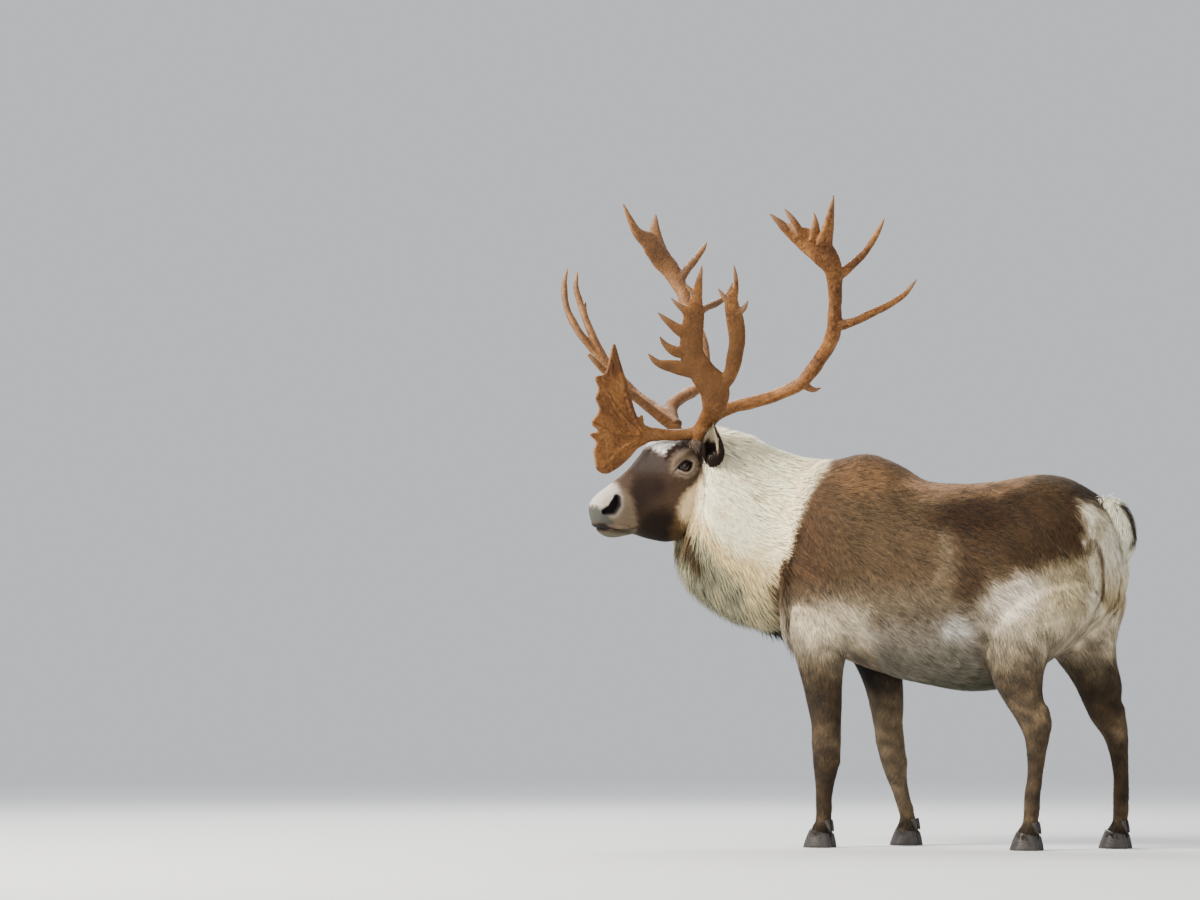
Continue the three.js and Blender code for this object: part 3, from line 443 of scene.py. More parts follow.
def tubeShell(points, half, depth, flat, around=20, perRow=10):
    # tube with an oval section along a spline through points, flat side across the given way
    places = np.linspace(0, len(points) - 1, (len(points) - 1) * perRow + 1)
    centre = splinePoints(points, places)
    wide = np.interp(places, np.arange(len(points)), half)[:, None, None]
    deep = np.interp(places, np.arange(len(points)), depth)[:, None, None]
    tangent = unit(np.gradient(centre, axis=0))
    across = unit(np.cross(flat, tangent))
    thick = np.cross(tangent, across)
    turn = np.linspace(0, 2 * math.pi, around, endpoint=False)[None, :, None]
    return shell(centre[:, None] + np.cos(turn) * wide * across[:, None]
                 + np.sin(turn) * deep * thick[:, None])


def faceTube(rows, side, shrink):
    # a round tube through points in the face's frame, thinner by shrink
    rows = table(rows)
    radius = np.maximum(rows[:, 3] - shrink, 3)
    return tubeShell(facePoint(rows[:, 0], rows[:, 1] * side, rows[:, 2]), radius, radius, upward)


def lineDistance(x, y, line):
    # distance from each point to a broken line, and how far along it the nearest place is
    best = np.full(len(x), 1e9)
    at = np.zeros(len(x))
    for k in range(len(line) - 1):
        (ax, ay), (bx, by) = line[k][:2], line[k + 1][:2]
        t = np.clip(((x - ax) * (bx - ax) + (y - ay) * (by - ay)) / ((bx - ax) ** 2 + (by - ay) ** 2), 0, 1)
        gap = np.hypot(x - ax - t * (bx - ax), y - ay - t * (by - ay))
        at = np.where(gap < best, k + t, at)
        best = np.minimum(gap, best)
    return best, at


def patch(x, y, outline, soft):
    # 1 inside an outline and 0 outside it, with a soft edge of the given width
    closed = list(outline) + [outline[0]]
    gap, _ = lineDistance(x, y, closed)
    inside = np.zeros(len(x), bool)
    for (ax, ay), (bx, by) in zip(closed[:-1], closed[1:]):
        crosses = (ay > y) != (by > y)
        inside ^= crosses & (x < (bx - ax) * (y - ay) / ((by - ay) or 1e-9) + ax)
    return smooth(np.where(inside, gap, -gap), -soft, soft)


def almond(phi):
    # edge of the space between the lids, round from its rear corner, as along and up from the eye
    t = (1 - np.cos(phi)) / 2
    bulge = eye["height"] * 2 * t * (1 - t) * np.sign(np.sin(phi))
    return (t - 0.5) * eye["length"] + eye["shift"], bulge + eye["slant"] * t * t


def eyeInside(s, t):
    # how far inside the lids' opening a point lies, by rays from the eye's middle
    phi = np.linspace(0, 2 * math.pi, 160, endpoint=False)
    edge = np.stack(almond(phi), -1)
    middle = np.array([0.0, eye["slant"] / 4])
    ray = np.arctan2(*(edge - middle).T[::-1])
    order = np.argsort(ray)
    x, y = s - eye["along"] - middle[0], t - eye["up"] - middle[1]
    reach = np.interp(np.arctan2(y, x), ray[order], np.hypot(*(edge - middle)[order].T), period=2 * math.pi)
    return reach - np.hypot(x, y)


def addForms(points, normals, forms, coords):
    # smooth lumps and hollows, each a bell that falls off with distance
    lift = np.zeros(len(points))
    for row in forms:
        *place, reach = row[:3] + [row[3:-1]]
        reaches = reach if len(reach) == 3 else reach * 3
        gap = sum(((c - p) / r) ** 2 for c, p, r in zip(coords, place, reaches))
        lift += row[-1] * np.exp(-gap)
    return points + normals * lift[:, None]


report("tables and helpers")


def legInset(z):
    # the coat's depth, less towards the hoof
    return mix(2, body["coatDepth"], smooth(z, 420, 700))


# The body's skin: trunk, neck core and legs in one
bodyParts = [trunkShell(body["coatDepth"]),
             neckShell(0, 0.9, lambda share: 5 + 14 * smooth(share, 0.68, 0.9))]
bodyParts += [legShell(limb, legInset) for limb in limbs]
bodyPoints, bodyQuads = fused(bodyParts, body["voxel"])
bodyPoints = relaxed(bodyPoints, bodyQuads, 3, 0.9)
bodyNormals = normalsOf(bodyPoints, bodyQuads)
x, y, z = bodyPoints.T
bodyPoints = addForms(bodyPoints, bodyNormals, body["forms"], (x, np.abs(y), z))


def limbPlace(limb, z):
    # middle x and y of a leg at each height, then its half length and half width
    row = rowsAt(limb["rows"], z)
    return row[..., 4 if limb["side"] > 0 else 5], -limb["side"] * row[..., 3], row[..., 1], row[..., 2]


for limb in limbs:
    for z0, ahead, out, reach, lift in limb["knots"]:
        cx, cy, length, width = limbPlace(limb, z0)
        spot = np.array([cx - ahead * length, cy - out * limb["side"] * width, z0])
        gap = dot(bodyPoints - spot, bodyPoints - spot) / reach ** 2
        bodyPoints = bodyPoints + bodyNormals * (lift * np.exp(-gap))[:, None]
bodyNormals = normalsOf(bodyPoints, bodyQuads)
report("body skin, %d faces" % len(bodyQuads))

# The head's skin, finer, with the neck's first stretch so that the two run into each other
headParts = [headShell(head["coatDepth"]),
             neckShell(0.78, 1, lambda share: 1 + 24 * smooth(-share, -0.9, -0.78))]
for side in (1, -1):
    lidBall = facePoint(eye["along"], eye["out"] * side, eye["up"])
    headParts.append(ballShell(lidBall, eye["radius"] + eye["lid"] - 1.5))
    headParts += [faceTube(head[key], side, 2.5) for key in ("upperLip", "lowerLip", "browRidge")]
    rows = table(head["pedicle"])
    line = headPoint(rows[:, 0], rows[:, 1] * side, rows[:, 2])
    headParts.append(tubeShell(line, rows[:, 3], rows[:, 3], forward))
headPoints, headQuads = fused(headParts, head["voxel"])
headPoints = relaxed(headPoints, headQuads, 4, 0.9)
headNormals = normalsOf(headPoints, headQuads)
s, o, t = faceCoords(headPoints)
headPoints = addForms(headPoints, headNormals, head["forms"], (s, np.abs(o), t))
onFace = smooth(s, 20, 60)
gap, at = lineDistance(s, t, head["mouth"])
groove = np.exp(-(gap / 2.4) ** 2) * head["mouthDepth"] * smooth(s, 316, 330)
nostrilLine = [(row[0], row[2]) for row in head["nostril"]]
nostrilSizes = [row[3] for row in head["nostril"]]
gap, at = lineDistance(s, t, nostrilLine)
radius = np.interp(at, range(4), nostrilSizes) - 1.5
pocket = head["nostrilDepth"] * smooth(radius - gap, -2, 7) * (np.abs(o) > 12)
rim = 2.2 * np.exp(-((gap - radius - 3) / 3.5) ** 2) * (np.abs(o) > 20)
nick = 0
for s0, t0, s1, t1, depth in head["mouthCreases"]:
    gap, at = lineDistance(s, t, [(s0, t0), (s1, t1)])
    nick = nick + depth * np.exp(-(gap / 3) ** 2)
headPoints = headPoints + headNormals * ((rim - nick - groove) * onFace)[:, None]
headPoints = headPoints - (leftward * np.sign(o)[:, None]) * (pocket * onFace)[:, None]
inside = eyeInside(s, t)
sunk = smooth(inside, -1.0, 3.0) * (np.abs(o) > 45)
headPoints = headPoints - (leftward * np.sign(o)[:, None]) * (sunk * 17)[:, None]
headNormals = normalsOf(headPoints, headQuads)
report("head skin, %d faces" % len(headQuads))


def lidSurface(side):
    # lids from the waterline out over the ball and down into the head's skin
    phi = np.linspace(0, 2 * math.pi, lidAround, endpoint=False)
    s0, t0 = almond(phi)
    t0 = t0 - eye["slant"] / 4
    s, o, t = faceCoords(headPoints)
    skinSide = (o * side > 30) & (np.abs(s - eye["along"]) < 60) & (np.abs(t - eye["up"]) < 60)
    near = np.stack([s[skinSide], t[skinSide]], -1)
    out = o[skinSide] * side
    rings = []
    for scale, rise, share in lidRows:
        q = np.stack([s0 * scale, t0 * scale * (1 + 0.1 * (scale - 1))], -1)
        reach = np.hypot(*q.T)
        onBall = np.sqrt(np.maximum((eye["radius"] + 0.2) ** 2 - (reach * 0.9) ** 2, 16))
        place = q + [eye["along"], eye["up"] + eye["slant"] / 4]
        gap = ((place[:, None] - near[None]) ** 2).sum(-1)
        nearest = np.argsort(gap, axis=1)[:, :6]
        skinOut = np.take_along_axis(np.broadcast_to(out, gap.shape), nearest, 1).mean(1)
        height = mix(eye["out"] + onBall + rise, skinOut + rise, share)
        rings.append(facePoint(place[:, 0], height * side, place[:, 1]))
    rings = np.array(rings)
    count, around = rings.shape[:2]
    j = np.arange(around)
    low = np.arange(count - 1)[:, None] * around
    quads = np.stack([low + j, low + (j + 1) % around, low + (j + 1) % around + around, low + j + around], -1)
    quads = quads.reshape(-1, 4)
    points = rings.reshape(-1, 3)
    if dot(normalsOf(points, quads)[3 * around], leftward * side) < 0:
        quads = quads[:, ::-1]
    return points, quads


# Size against the opening, rise over the ball or the skin, share of the skin's own height
lidRows = [(0.9, -2.5, 0), (0.95, -0.4, 0), (0.985, 0.8, 0), (1.03, 2.2, 0), (1.09, 3.0, 0.15),
           (1.17, 2.6, 0.4), (1.28, 1.4, 0.8), (1.42, 0.8, 1), (1.6, 0.2, 1), (1.8, -1.6, 1)]
lidDark = [1, 1, 1, 0.95, 0.75, 0.3, 0, 0, 0, 0]
lidAround = 96
lids = [lidSurface(side) for side in (1, -1)]


def earBase(side):
    # where the ear leaves the head
    return headPoint(ear["base"][0], ear["base"][1] * side, ear["base"][2])


def earTip(side):
    # the right ear hangs a little lower
    return headPoint(ear["tip"][0], ear["tip"][1] * side, ear["tip"][2] - ear["rightDrop"] * (side < 0))


def earShell(side):
    # cupped leaf: outer and inner walls carried up a bent middle line, open to the front
    base = earBase(side)
    tip = earTip(side)
    axis = unit(tip - base)
    faces = unit(headPoint(ear["faces"][0], ear["faces"][1] * side, ear["faces"][2]) - headPlace)
    across = unit(np.cross(faces, axis))
    front = np.cross(axis, across)
    share = np.linspace(0, 1, 40)
    sizes = np.stack([np.interp(share * 5, range(6), column) for column in ear["sizes"].T], -1) - 2.5
    sizes = np.maximum(sizes, 2) * np.sqrt(np.clip(1.02 - share ** 6, 0.05, 1))[:, None]
    gape = 0.25 + 0.95 * smooth(share, 0.12, 0.45) * (1 - 0.5 * smooth(share, 0.75, 1))
    turn = np.linspace(-1, 1, ear["around"])[None]
    angle = math.pi * 1.5 + turn * (math.pi - gape[:, None])
    middle = base + share[:, None] * (tip - base) + front * (3 * np.sin(share * math.pi))[:, None]
    wall = ear["wall"] - 0.12 * (1 - share)[:, None]

    def curve(scale):
        a = np.cos(angle) * sizes[:, :1] * scale
        b = np.sin(angle) * sizes[:, 1:] * scale
        return middle[:, None] + a[..., None] * across + b[..., None] * front

    rings = np.concatenate([curve(1), curve(wall)[:, ::-1]], axis=1)
    return shell(rings)


ears = [earShell(side) for side in (1, -1)]


def tailShell():
    # an oval tube down the tail's middle line, thinner by the coat's depth
    rows = tail["rows"]
    points = np.stack([rows[:, 0], 0 * rows[:, 0], rows[:, 1]], -1)
    half = np.maximum(rows[:, 2] - tail["coatDepth"], 5)
    depth = np.maximum(rows[:, 3] - tail["coatDepth"] * 0.7, 5)
    return tubeShell(points, depth, half, axisY, 24, 8)


tailSkin = tailShell()
report("lids, ears and tail")

# Where each point lies: share and turn round the neck, leg and height


def neckCoords(points):
    # share along the neck, by where the sign of the distance to its sections changes, and turn round it
    share = np.linspace(0, 1, 60)
    middle, side, up, reach, half = neckSection(share)
    ahead = np.cross(up, side)
    ahead *= np.sign(dot(ahead, np.gradient(middle, axis=0)))[:, None]
    beyond = points @ ahead.T - dot(middle, ahead)
    first = np.argmax(beyond < 0, axis=1)
    first = np.where((beyond < 0).any(1), first, 59)
    low = np.maximum(first - 1, 0)
    rows = np.arange(len(points))
    a, b = beyond[rows, low], beyond[rows, first]
    w = np.where(first > low, np.clip(a / np.where(np.abs(a - b) < 1e-6, 1, a - b), 0, 1), 0)
    at = (low + w) / 59
    middle, side, up, reach, half = neckSection(at)
    offset = points - middle
    return at, np.arctan2(dot(offset, up), dot(offset, side)), up, side


def neckShareOf(points):
    # 1 on the neck and its mane, 0 on the trunk, by the plane where the two meet
    edge = np.interp(points[:, 2], [620, 1200], [-560, -455])
    return smooth(edge - points[:, 0], -15, 15)


def legShareOf(points):
    # 1 on the legs and 0 on the trunk, by height, kept off belly and brisket by x
    x, y, z = points.T
    clear = np.maximum(np.maximum(smooth(-x, 190, 222), smooth(x, 128, 168)), smooth(-z, -460, -430))
    clear = clear * smooth(x, -515, -480)
    return smooth(-z, np.where(x < 0, -700, -760), np.where(x < 0, -570, -620)) * clear


charts = {
    # place of each chart's lower corner on the unwrap, and what one radian is worth, in metres
    "size": 2.62,
    "trunk": (0.64, 0.78, 0.23), "neck": (1.3, 0.58, 0.165), "head": (2.06, 0.34, 0.095),
    "tail": (1.94, 0.86, 0.035), "leftEar": (2.2, 0.86, 0.04), "rightEar": (2.42, 0.86, 0.04),
    "leftLid": (1.98, 1.2, 0), "rightLid": (2.15, 1.2, 0),
    "legs": [(0.22 + 0.45 * k, 1.56, 0.06) for k in range(4)],
}


def chartCoords(region, points):
    # along and turn of points in one region's own unwrap: turn is 0 at the top or the outer side
    if region == "trunk":
        x, y, z = points.T
        widest = rowsAt(body["trunk"], x)[:, 4]
        return (x * 0.001, np.arctan2(y, z - widest))
    if region == "neck":
        share, turn, _, _ = neckCoords(points)
        return share * 0.6, np.arctan2(np.cos(turn), np.sin(turn))
    if region == "head":
        s, o, t = faceCoords(points)
        middle = np.interp(s, head["rows"][:, 0], head["rows"][:, 1:3].mean(1))
        return s * 0.001, np.arctan2(o, t - middle)
    if region == "tail":
        return points[:, 2] * 0.001 - 0.97, np.arctan2(points[:, 1], points[:, 0] - 530)
    if region.endswith("Ear"):
        side = 1 if region == "leftEar" else -1
        base = earBase(side)
        tip = earTip(side)
        axis = unit(tip - base)
        offset = points - base
        return offset @ axis * 0.001, np.arctan2(offset @ leftward * side - 30, offset @ forward - 20)
    if region.endswith("Lid"):
        s, o, t = faceCoords(points)
        return (s - eye["along"]) * 0.001, (t - eye["up"]) * 0.001
    limb = limbs[int(region[-1])]
    cx, cy, _, _ = limbPlace(limb, points[:, 2])
    out = (points[:, 1] - cy) * -limb["side"]
    return points[:, 2] * 0.001, np.arctan2(points[:, 0] - cx, out)


def chartPlace(region, along, turn):
    # the chart's corner, plus the distance along, plus the turn times what a radian is worth
    if region.startswith("leg"):
        across, low, radian = charts["legs"][int(region[-1])]
        return np.stack([across + turn * radian, low + along], -1) / charts["size"]
    left, middle, radian = charts[region]
    return np.stack([left + along, middle + turn * (radian or 1)], -1) / charts["size"]


def regionsOf(points):
    # the region that each point of the body's skin belongs to
    x, y, z = points.T
    leg = np.where(x < 0, z < 640, z < 640 + (x - 200) * 0.37) & (np.abs(y) > 40)
    leg &= (np.abs(x + 30) > 175) | (z < 445)
    limb = np.where(x < 0, 0, 2) + (y > 0)
    names = np.full(len(points), "trunk", object)
    names[neckShareOf(points) > 0.5] = "neck"
    for k in range(4):
        names[leg & (limb == k) & (z < 800)] = "leg%d" % k
    return names


def unwrapped(points, faces, names):
    # place of every face corner on the unwrap, each face in the chart of its own region
    place = np.zeros(faces.shape + (2,))
    middle = points[faces].mean(1)
    for name in sorted(set(names)):
        mine = names == name
        corners = points[faces[mine]].reshape(-1, 3)
        along, turn = chartCoords(name, corners)
        _, about = chartCoords(name, middle[mine])
        turn = turn.reshape(-1, faces.shape[1])
        if not name.endswith("Lid"):
            turn = about[:, None] + (turn - about[:, None] + math.pi) % (2 * math.pi) - math.pi
        place[mine] = chartPlace(name, along, turn.ravel()).reshape(-1, faces.shape[1], 2)
    return place


def rootPlaces(points, names):
    # place of each root on the unwrap, in the chart of its own region
    place = np.zeros((len(points), 2))
    for name in sorted(set(names)):
        mine = names == name
        place[mine] = chartPlace(name, *chartCoords(name, points[mine]))
    return place


# Colours, as seen, of the coat's patches
tones = {key: np.array(rgb, float) / 255 for key, rgb in {
    "side": (72, 56, 37), "sideLow": (106, 92, 72), "sideRed": (72, 50, 32), "withers": (102, 75, 49),
    "back": (144, 109, 78), "darkA": (38, 23, 9), "darkB": (43, 28, 12), "darkC": (54, 38, 23),
    "tan": (104, 88, 66), "tanPatch": (70, 54, 35), "greyFade": (82, 72, 58), "flankPale": (86, 74, 58),
    # the last tone below is painted shade along the underside of the belly
    "flankWhite": (190, 184, 174), "groin": (66, 52, 38), "belly": (106, 100, 86), "bellyShade": (50, 52, 36),
    "elbow": (182, 166, 138), "thighWhite": (206, 191, 169), "thighTan": (166, 150, 116),
    # rumpDark is the rump's own dark patch, and is also laid as painted shade in the seat's creases
    "rumpWhite": (238, 222, 190), "rumpDark": (44, 30, 17), "buttock": (136, 113, 74),
    "neckTop": (255, 244, 202), "neck": (232, 204, 146), "maneLow": (146, 142, 114), "fringe": (104, 100, 80),
    "nape": (252, 232, 196), "bandEdge": (246, 220, 172), "throat": (52, 37, 20),
    "face": (72, 54, 40), "forehead": (250, 246, 236), "browArc": (38, 26, 18), "eyeRing": (136, 118, 97),
    "midGrey": (66, 57, 52), "bridge": (40, 28, 21), "cheek": (24, 14, 8), "warm": (104, 80, 54),
    "muzzleTop": (178, 168, 155), "noseBand": (86, 68, 54), "nosePale": (116, 100, 80),
    "noseFront": (66, 67, 62), "jawTan": (84, 65, 37),
    "noseDark": (70, 62, 56), "nostril": (16, 11, 10), "lip": (24, 18, 15), "chin": (84, 80, 64),
    "jawCream": (224, 198, 156), "lidRim": (20, 14, 11), "crown": (106, 92, 80),
    "earBack": (40, 29, 17), "earInner": (176, 160, 134), "earTuft": (30, 20, 12), "earRim": (46, 34, 24),
    "tail": (218, 212, 186), "tailDark": (30, 20, 11),
    "shank": (40, 30, 18), "shankPale": (90, 76, 58), "fetlock": (76, 62, 42), "knee": (92, 76, 56),
    # the last tone below is painted shadow of the trunk over the far foreleg
    "legTop": (190, 176, 148), "underarmShadow": (18, 13, 9),
    "eyeball": (30, 22, 18), "iris": (36, 22, 13), "pupil": (8, 7, 8),
}.items()}

marks = {
    # height and x of the edge where the brown side begins behind the mane
    "edge": [(758, -572), (788, -560), (825, -541), (856, -522), (893, -495), (932, -468), (978, -450),
             (1025, -437), (1066, -425), (1097, -413), (1129, -392), (1189, -386), (1240, -380)],
    # outlines on each side, x and z
    "darkBand": [(50, 1060), (119, 1078), (208, 1088), (305, 1086), (400, 1070), (461, 1040), (494, 970),
                 (498, 893), (448, 869), (376, 868), (283, 866), (204, 890), (130, 930), (66, 968)],
    "darkSide": [(89, 965), (155, 950), (195, 872), (210, 812), (165, 770), (108, 745), (78, 783), (90, 874)],
    "darkA": [(-18, 1012), (37, 1046), (98, 1060), (166, 1049), (237, 1031), (259, 987), (197, 976),
              (150, 971), (121, 950), (86, 966), (35, 983)],
    "tanStreak": [(34, 952), (87, 960), (106, 874), (98, 753), (57, 753), (32, 814)],
    "tanPatch": [(151, 965), (222, 979), (236, 902), (191, 872), (162, 827), (137, 873)],
    "withers": [(-380, 1200), (-306, 1230), (-220, 1230), (-140, 1170), (-130, 1110), (-201, 1066),
                (-272, 1085), (-340, 1120)],
    "back": [(-153, 1200), (300, 1200), (270, 1100), (206, 1083), (76, 1080), (-70, 1083), (-120, 1110)],
    "thighWhite": [(181, 752), (223, 806), (284, 835), (359, 834), (371, 780), (343, 720), (280, 667),
                   (229, 643), (182, 686)],
    "thighTan": [(359, 834), (420, 875), (498, 881), (497, 780), (479, 705), (428, 646), (374, 601),
                 (292, 556), (229, 631), (343, 714)],
    "elbow": [(-545, 728), (-470, 750), (-390, 742), (-293, 758), (-252, 752), (-206, 721), (-193, 635),
              (-246, 591), (-286, 636), (-303, 599), (-354, 581), (-394, 612), (-440, 650), (-560, 640)],
    "flankPale": [(-225, 606), (-154, 696), (-65, 740), (51, 753), (119, 740), (157, 707), (163, 632),
                  (97, 602), (-118, 559)],
    "flankWhite": [(46, 678), (95, 699), (147, 686), (153, 644), (107, 623), (55, 633)],
    "groin": [(29, 579), (82, 603), (107, 623), (151, 629), (172, 596), (141, 587), (103, 596), (57, 567)],
    "rumpWhite": [(450, 1030), (480, 1056), (520, 1020), (545, 900), (520, 720), (480, 690), (505, 860),
                  (500, 930), (480, 975)],
    "rumpDark": [(395, 1085), (420, 1110), (450, 1098), (485, 1062), (462, 1050), (436, 1021)],
    # outlines on each side of the face, along and up
    "forehead": [(162, 10), (168, 40), (62, 40), (66, 8), (73, 1), (93, 1), (126, -4), (148, -9), (157, 0)],
    "browArc": [(142, -19), (122, -7), (94, -5), (65, -11), (48, -28), (39, -49), (43, -74), (52, -93),
                (66, -110), (86, -122), (108, -129), (126, -134)],
    "ring": [(149, -39), (131, -27), (103, -22), (70, -29), (53, -50), (54, -72), (68, -93), (87, -101),
             (110, -102), (135, -89), (147, -71), (153, -57)],
    "cheek": [(305, -179), (294, -157), (256, -150), (216, -160), (184, -190), (174, -225), (182, -258),
              (190, -330), (292, -330), (310, -230), (310, -200)],
    "bridge": [(277, -30), (245, -36), (217, -42), (186, -60), (175, -74), (178, -99), (199, -117),
               (243, -125), (275, -138), (305, -154), (308, -124), (303, -94), (299, -69), (288, -47)],
    "midGrey": [(208, 40), (176, 40), (148, -14), (151, -38), (164, -66), (217, -41), (251, -33), (256, 40)],
    "noseBand": [(319, -34), (300, 30), (268, 30), (262, -39), (290, -62), (305, -88), (319, -64),
                 (327, -50)],
    "muzzleTop": [(326, 30), (450, 30), (450, -62), (422, -70), (409, -81), (394, -74), (373, -63),
                  (343, -57), (322, -55), (317, -41)],
    "nosePale": [(321, -54), (304, -67), (299, -102), (301, -134), (308, -178), (320, -186), (353, -174),
                 (387, -162), (405, -140), (404, -110), (404, -80), (372, -62), (343, -56)],
    "noseFront": [(450, -66), (418, -66), (408, -80), (400, -97), (398, -115), (392, -139), (410, -133),
                  (421, -119), (450, -117)],
    "jaw": [(-300, -60), (26, -71), (40, -91), (68, -119), (88, -131), (112, -137), (130, -147), (147, -159),
            (162, -176), (169, -197), (174, -216), (172, -238), (166, -400), (-300, -400)],
    "jawTan": [(176, -200), (206, -232), (216, -330), (196, -400), (90, -400), (110, -300), (146, -240)],
    "mouth": [(405, -145), (383, -161), (355, -173), (320, -184), (306, -185)],
    "lip": [(450, -128), (428, -120), (415, -126), (407, -141), (405, -150), (415, -151), (425, -148),
            (450, -144)],
    "chin": [(450, -151), (422, -151), (398, -160), (363, -176), (327, -188), (308, -190), (313, -215),
             (385, -215), (450, -175)],
    "tear": [(126, -58), (138, -63), (150, -69)],
}

legCoat = {
    # fetlock height and reach, reach round each joint, then height and reach of the painted shadow beside the
    # trunk
    "fetlock": 95, "fetlockReach": 28, "jointReach": 46, "underarmShadow": 565, "underarmReach": 85,
    # height of the knee or hock, how pale the shank is, how much painted shadow of the trunk it has beside
    # the trunk, where it turns pale
    "front_left": {"joint": 330, "pale": 0.05, "shade": 0.0, "fade": (460, 760)},
    "front_right": {"joint": 320, "pale": 0.8, "shade": 0.95, "fade": (630, 790)},
    "hind_left": {"joint": 405, "pale": 0.35, "shade": 0.0, "fade": (450, 770)},
    "hind_right": {"joint": 355, "pale": 0.1, "shade": 0.0, "fade": (480, 720)},
}


def linear(rgb):
    # the screen's colour curve undone
    return np.where(rgb <= 0.04045, rgb / 12.92, ((rgb + 0.055) / 1.055) ** 2.4)


def paint(colour, tone, share):
    # lays a named tone over the colours, by share
    return mix(colour, tones[tone], np.asarray(share)[:, None])


def bell(x, middle, reach):
    # 1 in the middle, falling off evenly to both sides
    return np.exp(-((x - middle) / reach) ** 2)


def legColour(limb, z):
    # one shank tone, paler in a bell round the fetlock and the joint, and fading to pale by the trunk, with
    # painted shadow of the trunk in a bell beside it
    own = legCoat[limb["name"]]
    shank = mix(tones["shank"], tones["shankPale"], own["pale"])
    colour = np.broadcast_to(shank, (len(z), 3))
    colour = paint(colour, "fetlock", bell(z, legCoat["fetlock"], legCoat["fetlockReach"]) * 0.6)
    colour = paint(colour, "knee", bell(z, own["joint"], legCoat["jointReach"]) * 0.55)
    colour = paint(colour, "legTop", smooth(z, *own["fade"]))
    # painted shadow of the trunk on the leg's upper part, as strong as the leg's shade
    return paint(colour, "underarmShadow", bell(z, legCoat["underarmShadow"], legCoat["underarmReach"]) * own["shade"])


def neckColour(points):
    # pale above, straw at the side and grey green at the fringe, partly its own grey and partly painted shade
    # under the neck, by the turn round the neck
    share, turn, _, _ = neckCoords(points)
    down = np.maximum(-np.sin(turn), 0)
    patchy = waves(points, 90, 21) * 0.12
    colour = np.broadcast_to(tones["neckTop"], points.shape)
    colour = paint(colour, "neck", smooth(down + patchy, 0.0, 0.5))
    # grey green low on the mane and darker at the fringe: partly the hair's own grey, partly painted shade
    # under the neck
    colour = paint(colour, "maneLow", smooth(down + patchy, 0.55, 0.92) * smooth(share, 0.0, 0.25) * 0.9)
    colour = paint(colour, "fringe", smooth(down + patchy, 0.86, 1.0) * 0.6)
    colour = paint(colour, "bandEdge", smooth(share, 0.3, 0.05) * (1 - smooth(down, 0.5, 0.9)) * 0.6)
    nape = smooth(np.sin(turn) + waves(points, 40, 22) * 0.1, 0.86, 0.98) * smooth(share, 0.25, 0.6)
    colour = paint(colour, "nape", nape * 0.7)
    rear = lineDistance(points[:, 0], points[:, 2], [(-822, 1009), (-793, 969), (-765, 900)])[0]
    high = smooth(np.sin(turn), 0.4, 0.8)
    fleck = smooth(waves(points, 15, 23), 0.7, 1.1) * high * smooth(share, 0.05, 0.2)
    colour = paint(colour, "tan", fleck * 0.55)
    return paint(colour, "throat", smooth(-rear, -28, -8) * smooth(down, 0.2, 0.5)
                 * (points[:, 1] < -150) * 0.85)


def sideColour(points):
    # the brown side, with each named outline laid over it in turn, then belly with painted shade along its
    # underside, seat, and painted shade in the seat's creases
    x, y, z = points.T
    rough = waves(points, 60, 5) * 9 + waves(points, 22, 6) * 6
    px, pz = x + rough, z + waves(points, 70, 7) * 9 + waves(points, 20, 8) * 5
    colour = np.broadcast_to(tones["side"], points.shape)
    colour = paint(colour, "sideRed", smooth(-px, 240, 400) * 0.6)
    colour = paint(colour, "sideLow", smooth(-z, -860, -720))
    colour = paint(colour, "greyFade", smooth(-pz, -760, -650) * smooth(-px, -140, 40))
    for tone, key, soft, share in (
            ("withers", "withers", 45, 0.9), ("back", "back", 34, 0.8), ("tan", "tanStreak", 26, 0.85),
            ("darkB", "darkBand", 42, 0.85), ("tanPatch", "tanPatch", 30, 0.3), ("darkA", "darkA", 34, 0.9),
            ("darkC", "darkSide", 34, 0.8), ("flankPale", "flankPale", 50, 0.75),
            ("flankWhite", "flankWhite", 44, 0.92), ("thighTan", "thighTan", 44, 0.92),
            ("thighWhite", "thighWhite", 46, 0.97), ("elbow", "elbow", 54, 0.97),
            ("groin", "groin", 14, 0.7), ("rumpDark", "rumpDark", 16, 0.85)):
        colour = paint(colour, tone, patch(px, pz, marks[key], soft) * share)
    belly = smooth(px, -330, -210) * smooth(-px, -330, -200)
    colour = paint(colour, "flankWhite", smooth(-pz, -720, -640) * belly * 0.3)
    colour = paint(colour, "belly", smooth(-pz, -650, -575) * belly)
    # painted shade along the underside of the belly
    colour = paint(colour, "bellyShade", smooth(-pz, -535, -500) * belly * 0.6)
    colour = paint(colour, "rumpWhite", patch(px, pz, marks["rumpWhite"], 24) * 0.95)
    seat = smooth(x, 505, 535) * smooth(150 - np.abs(y), 0, 30) * smooth(z, 560, 700)
    colour = paint(colour, "buttock", seat)
    colour = paint(colour, "rumpWhite", seat * smooth(z, 700, 900))
    # painted shade in the groove down each buttock
    groove = np.abs(np.abs(y) - np.interp(z, [640, 751, 840, 940], [60, 90, 121, 138]))
    colour = paint(colour, "rumpDark", smooth(-groove, -9, -2) * smooth(x, 470, 500) * smooth(z, 640, 720)
                   * smooth(-z, -950, -910) * 0.7)
    # painted shade in the crease between the buttocks
    return paint(colour, "rumpDark", smooth(x, 490, 520) * smooth(-np.abs(y + 2), -15, -4)
                 * smooth(z, 600, 680)
                 * smooth(-z, -920, -890) * 0.85)


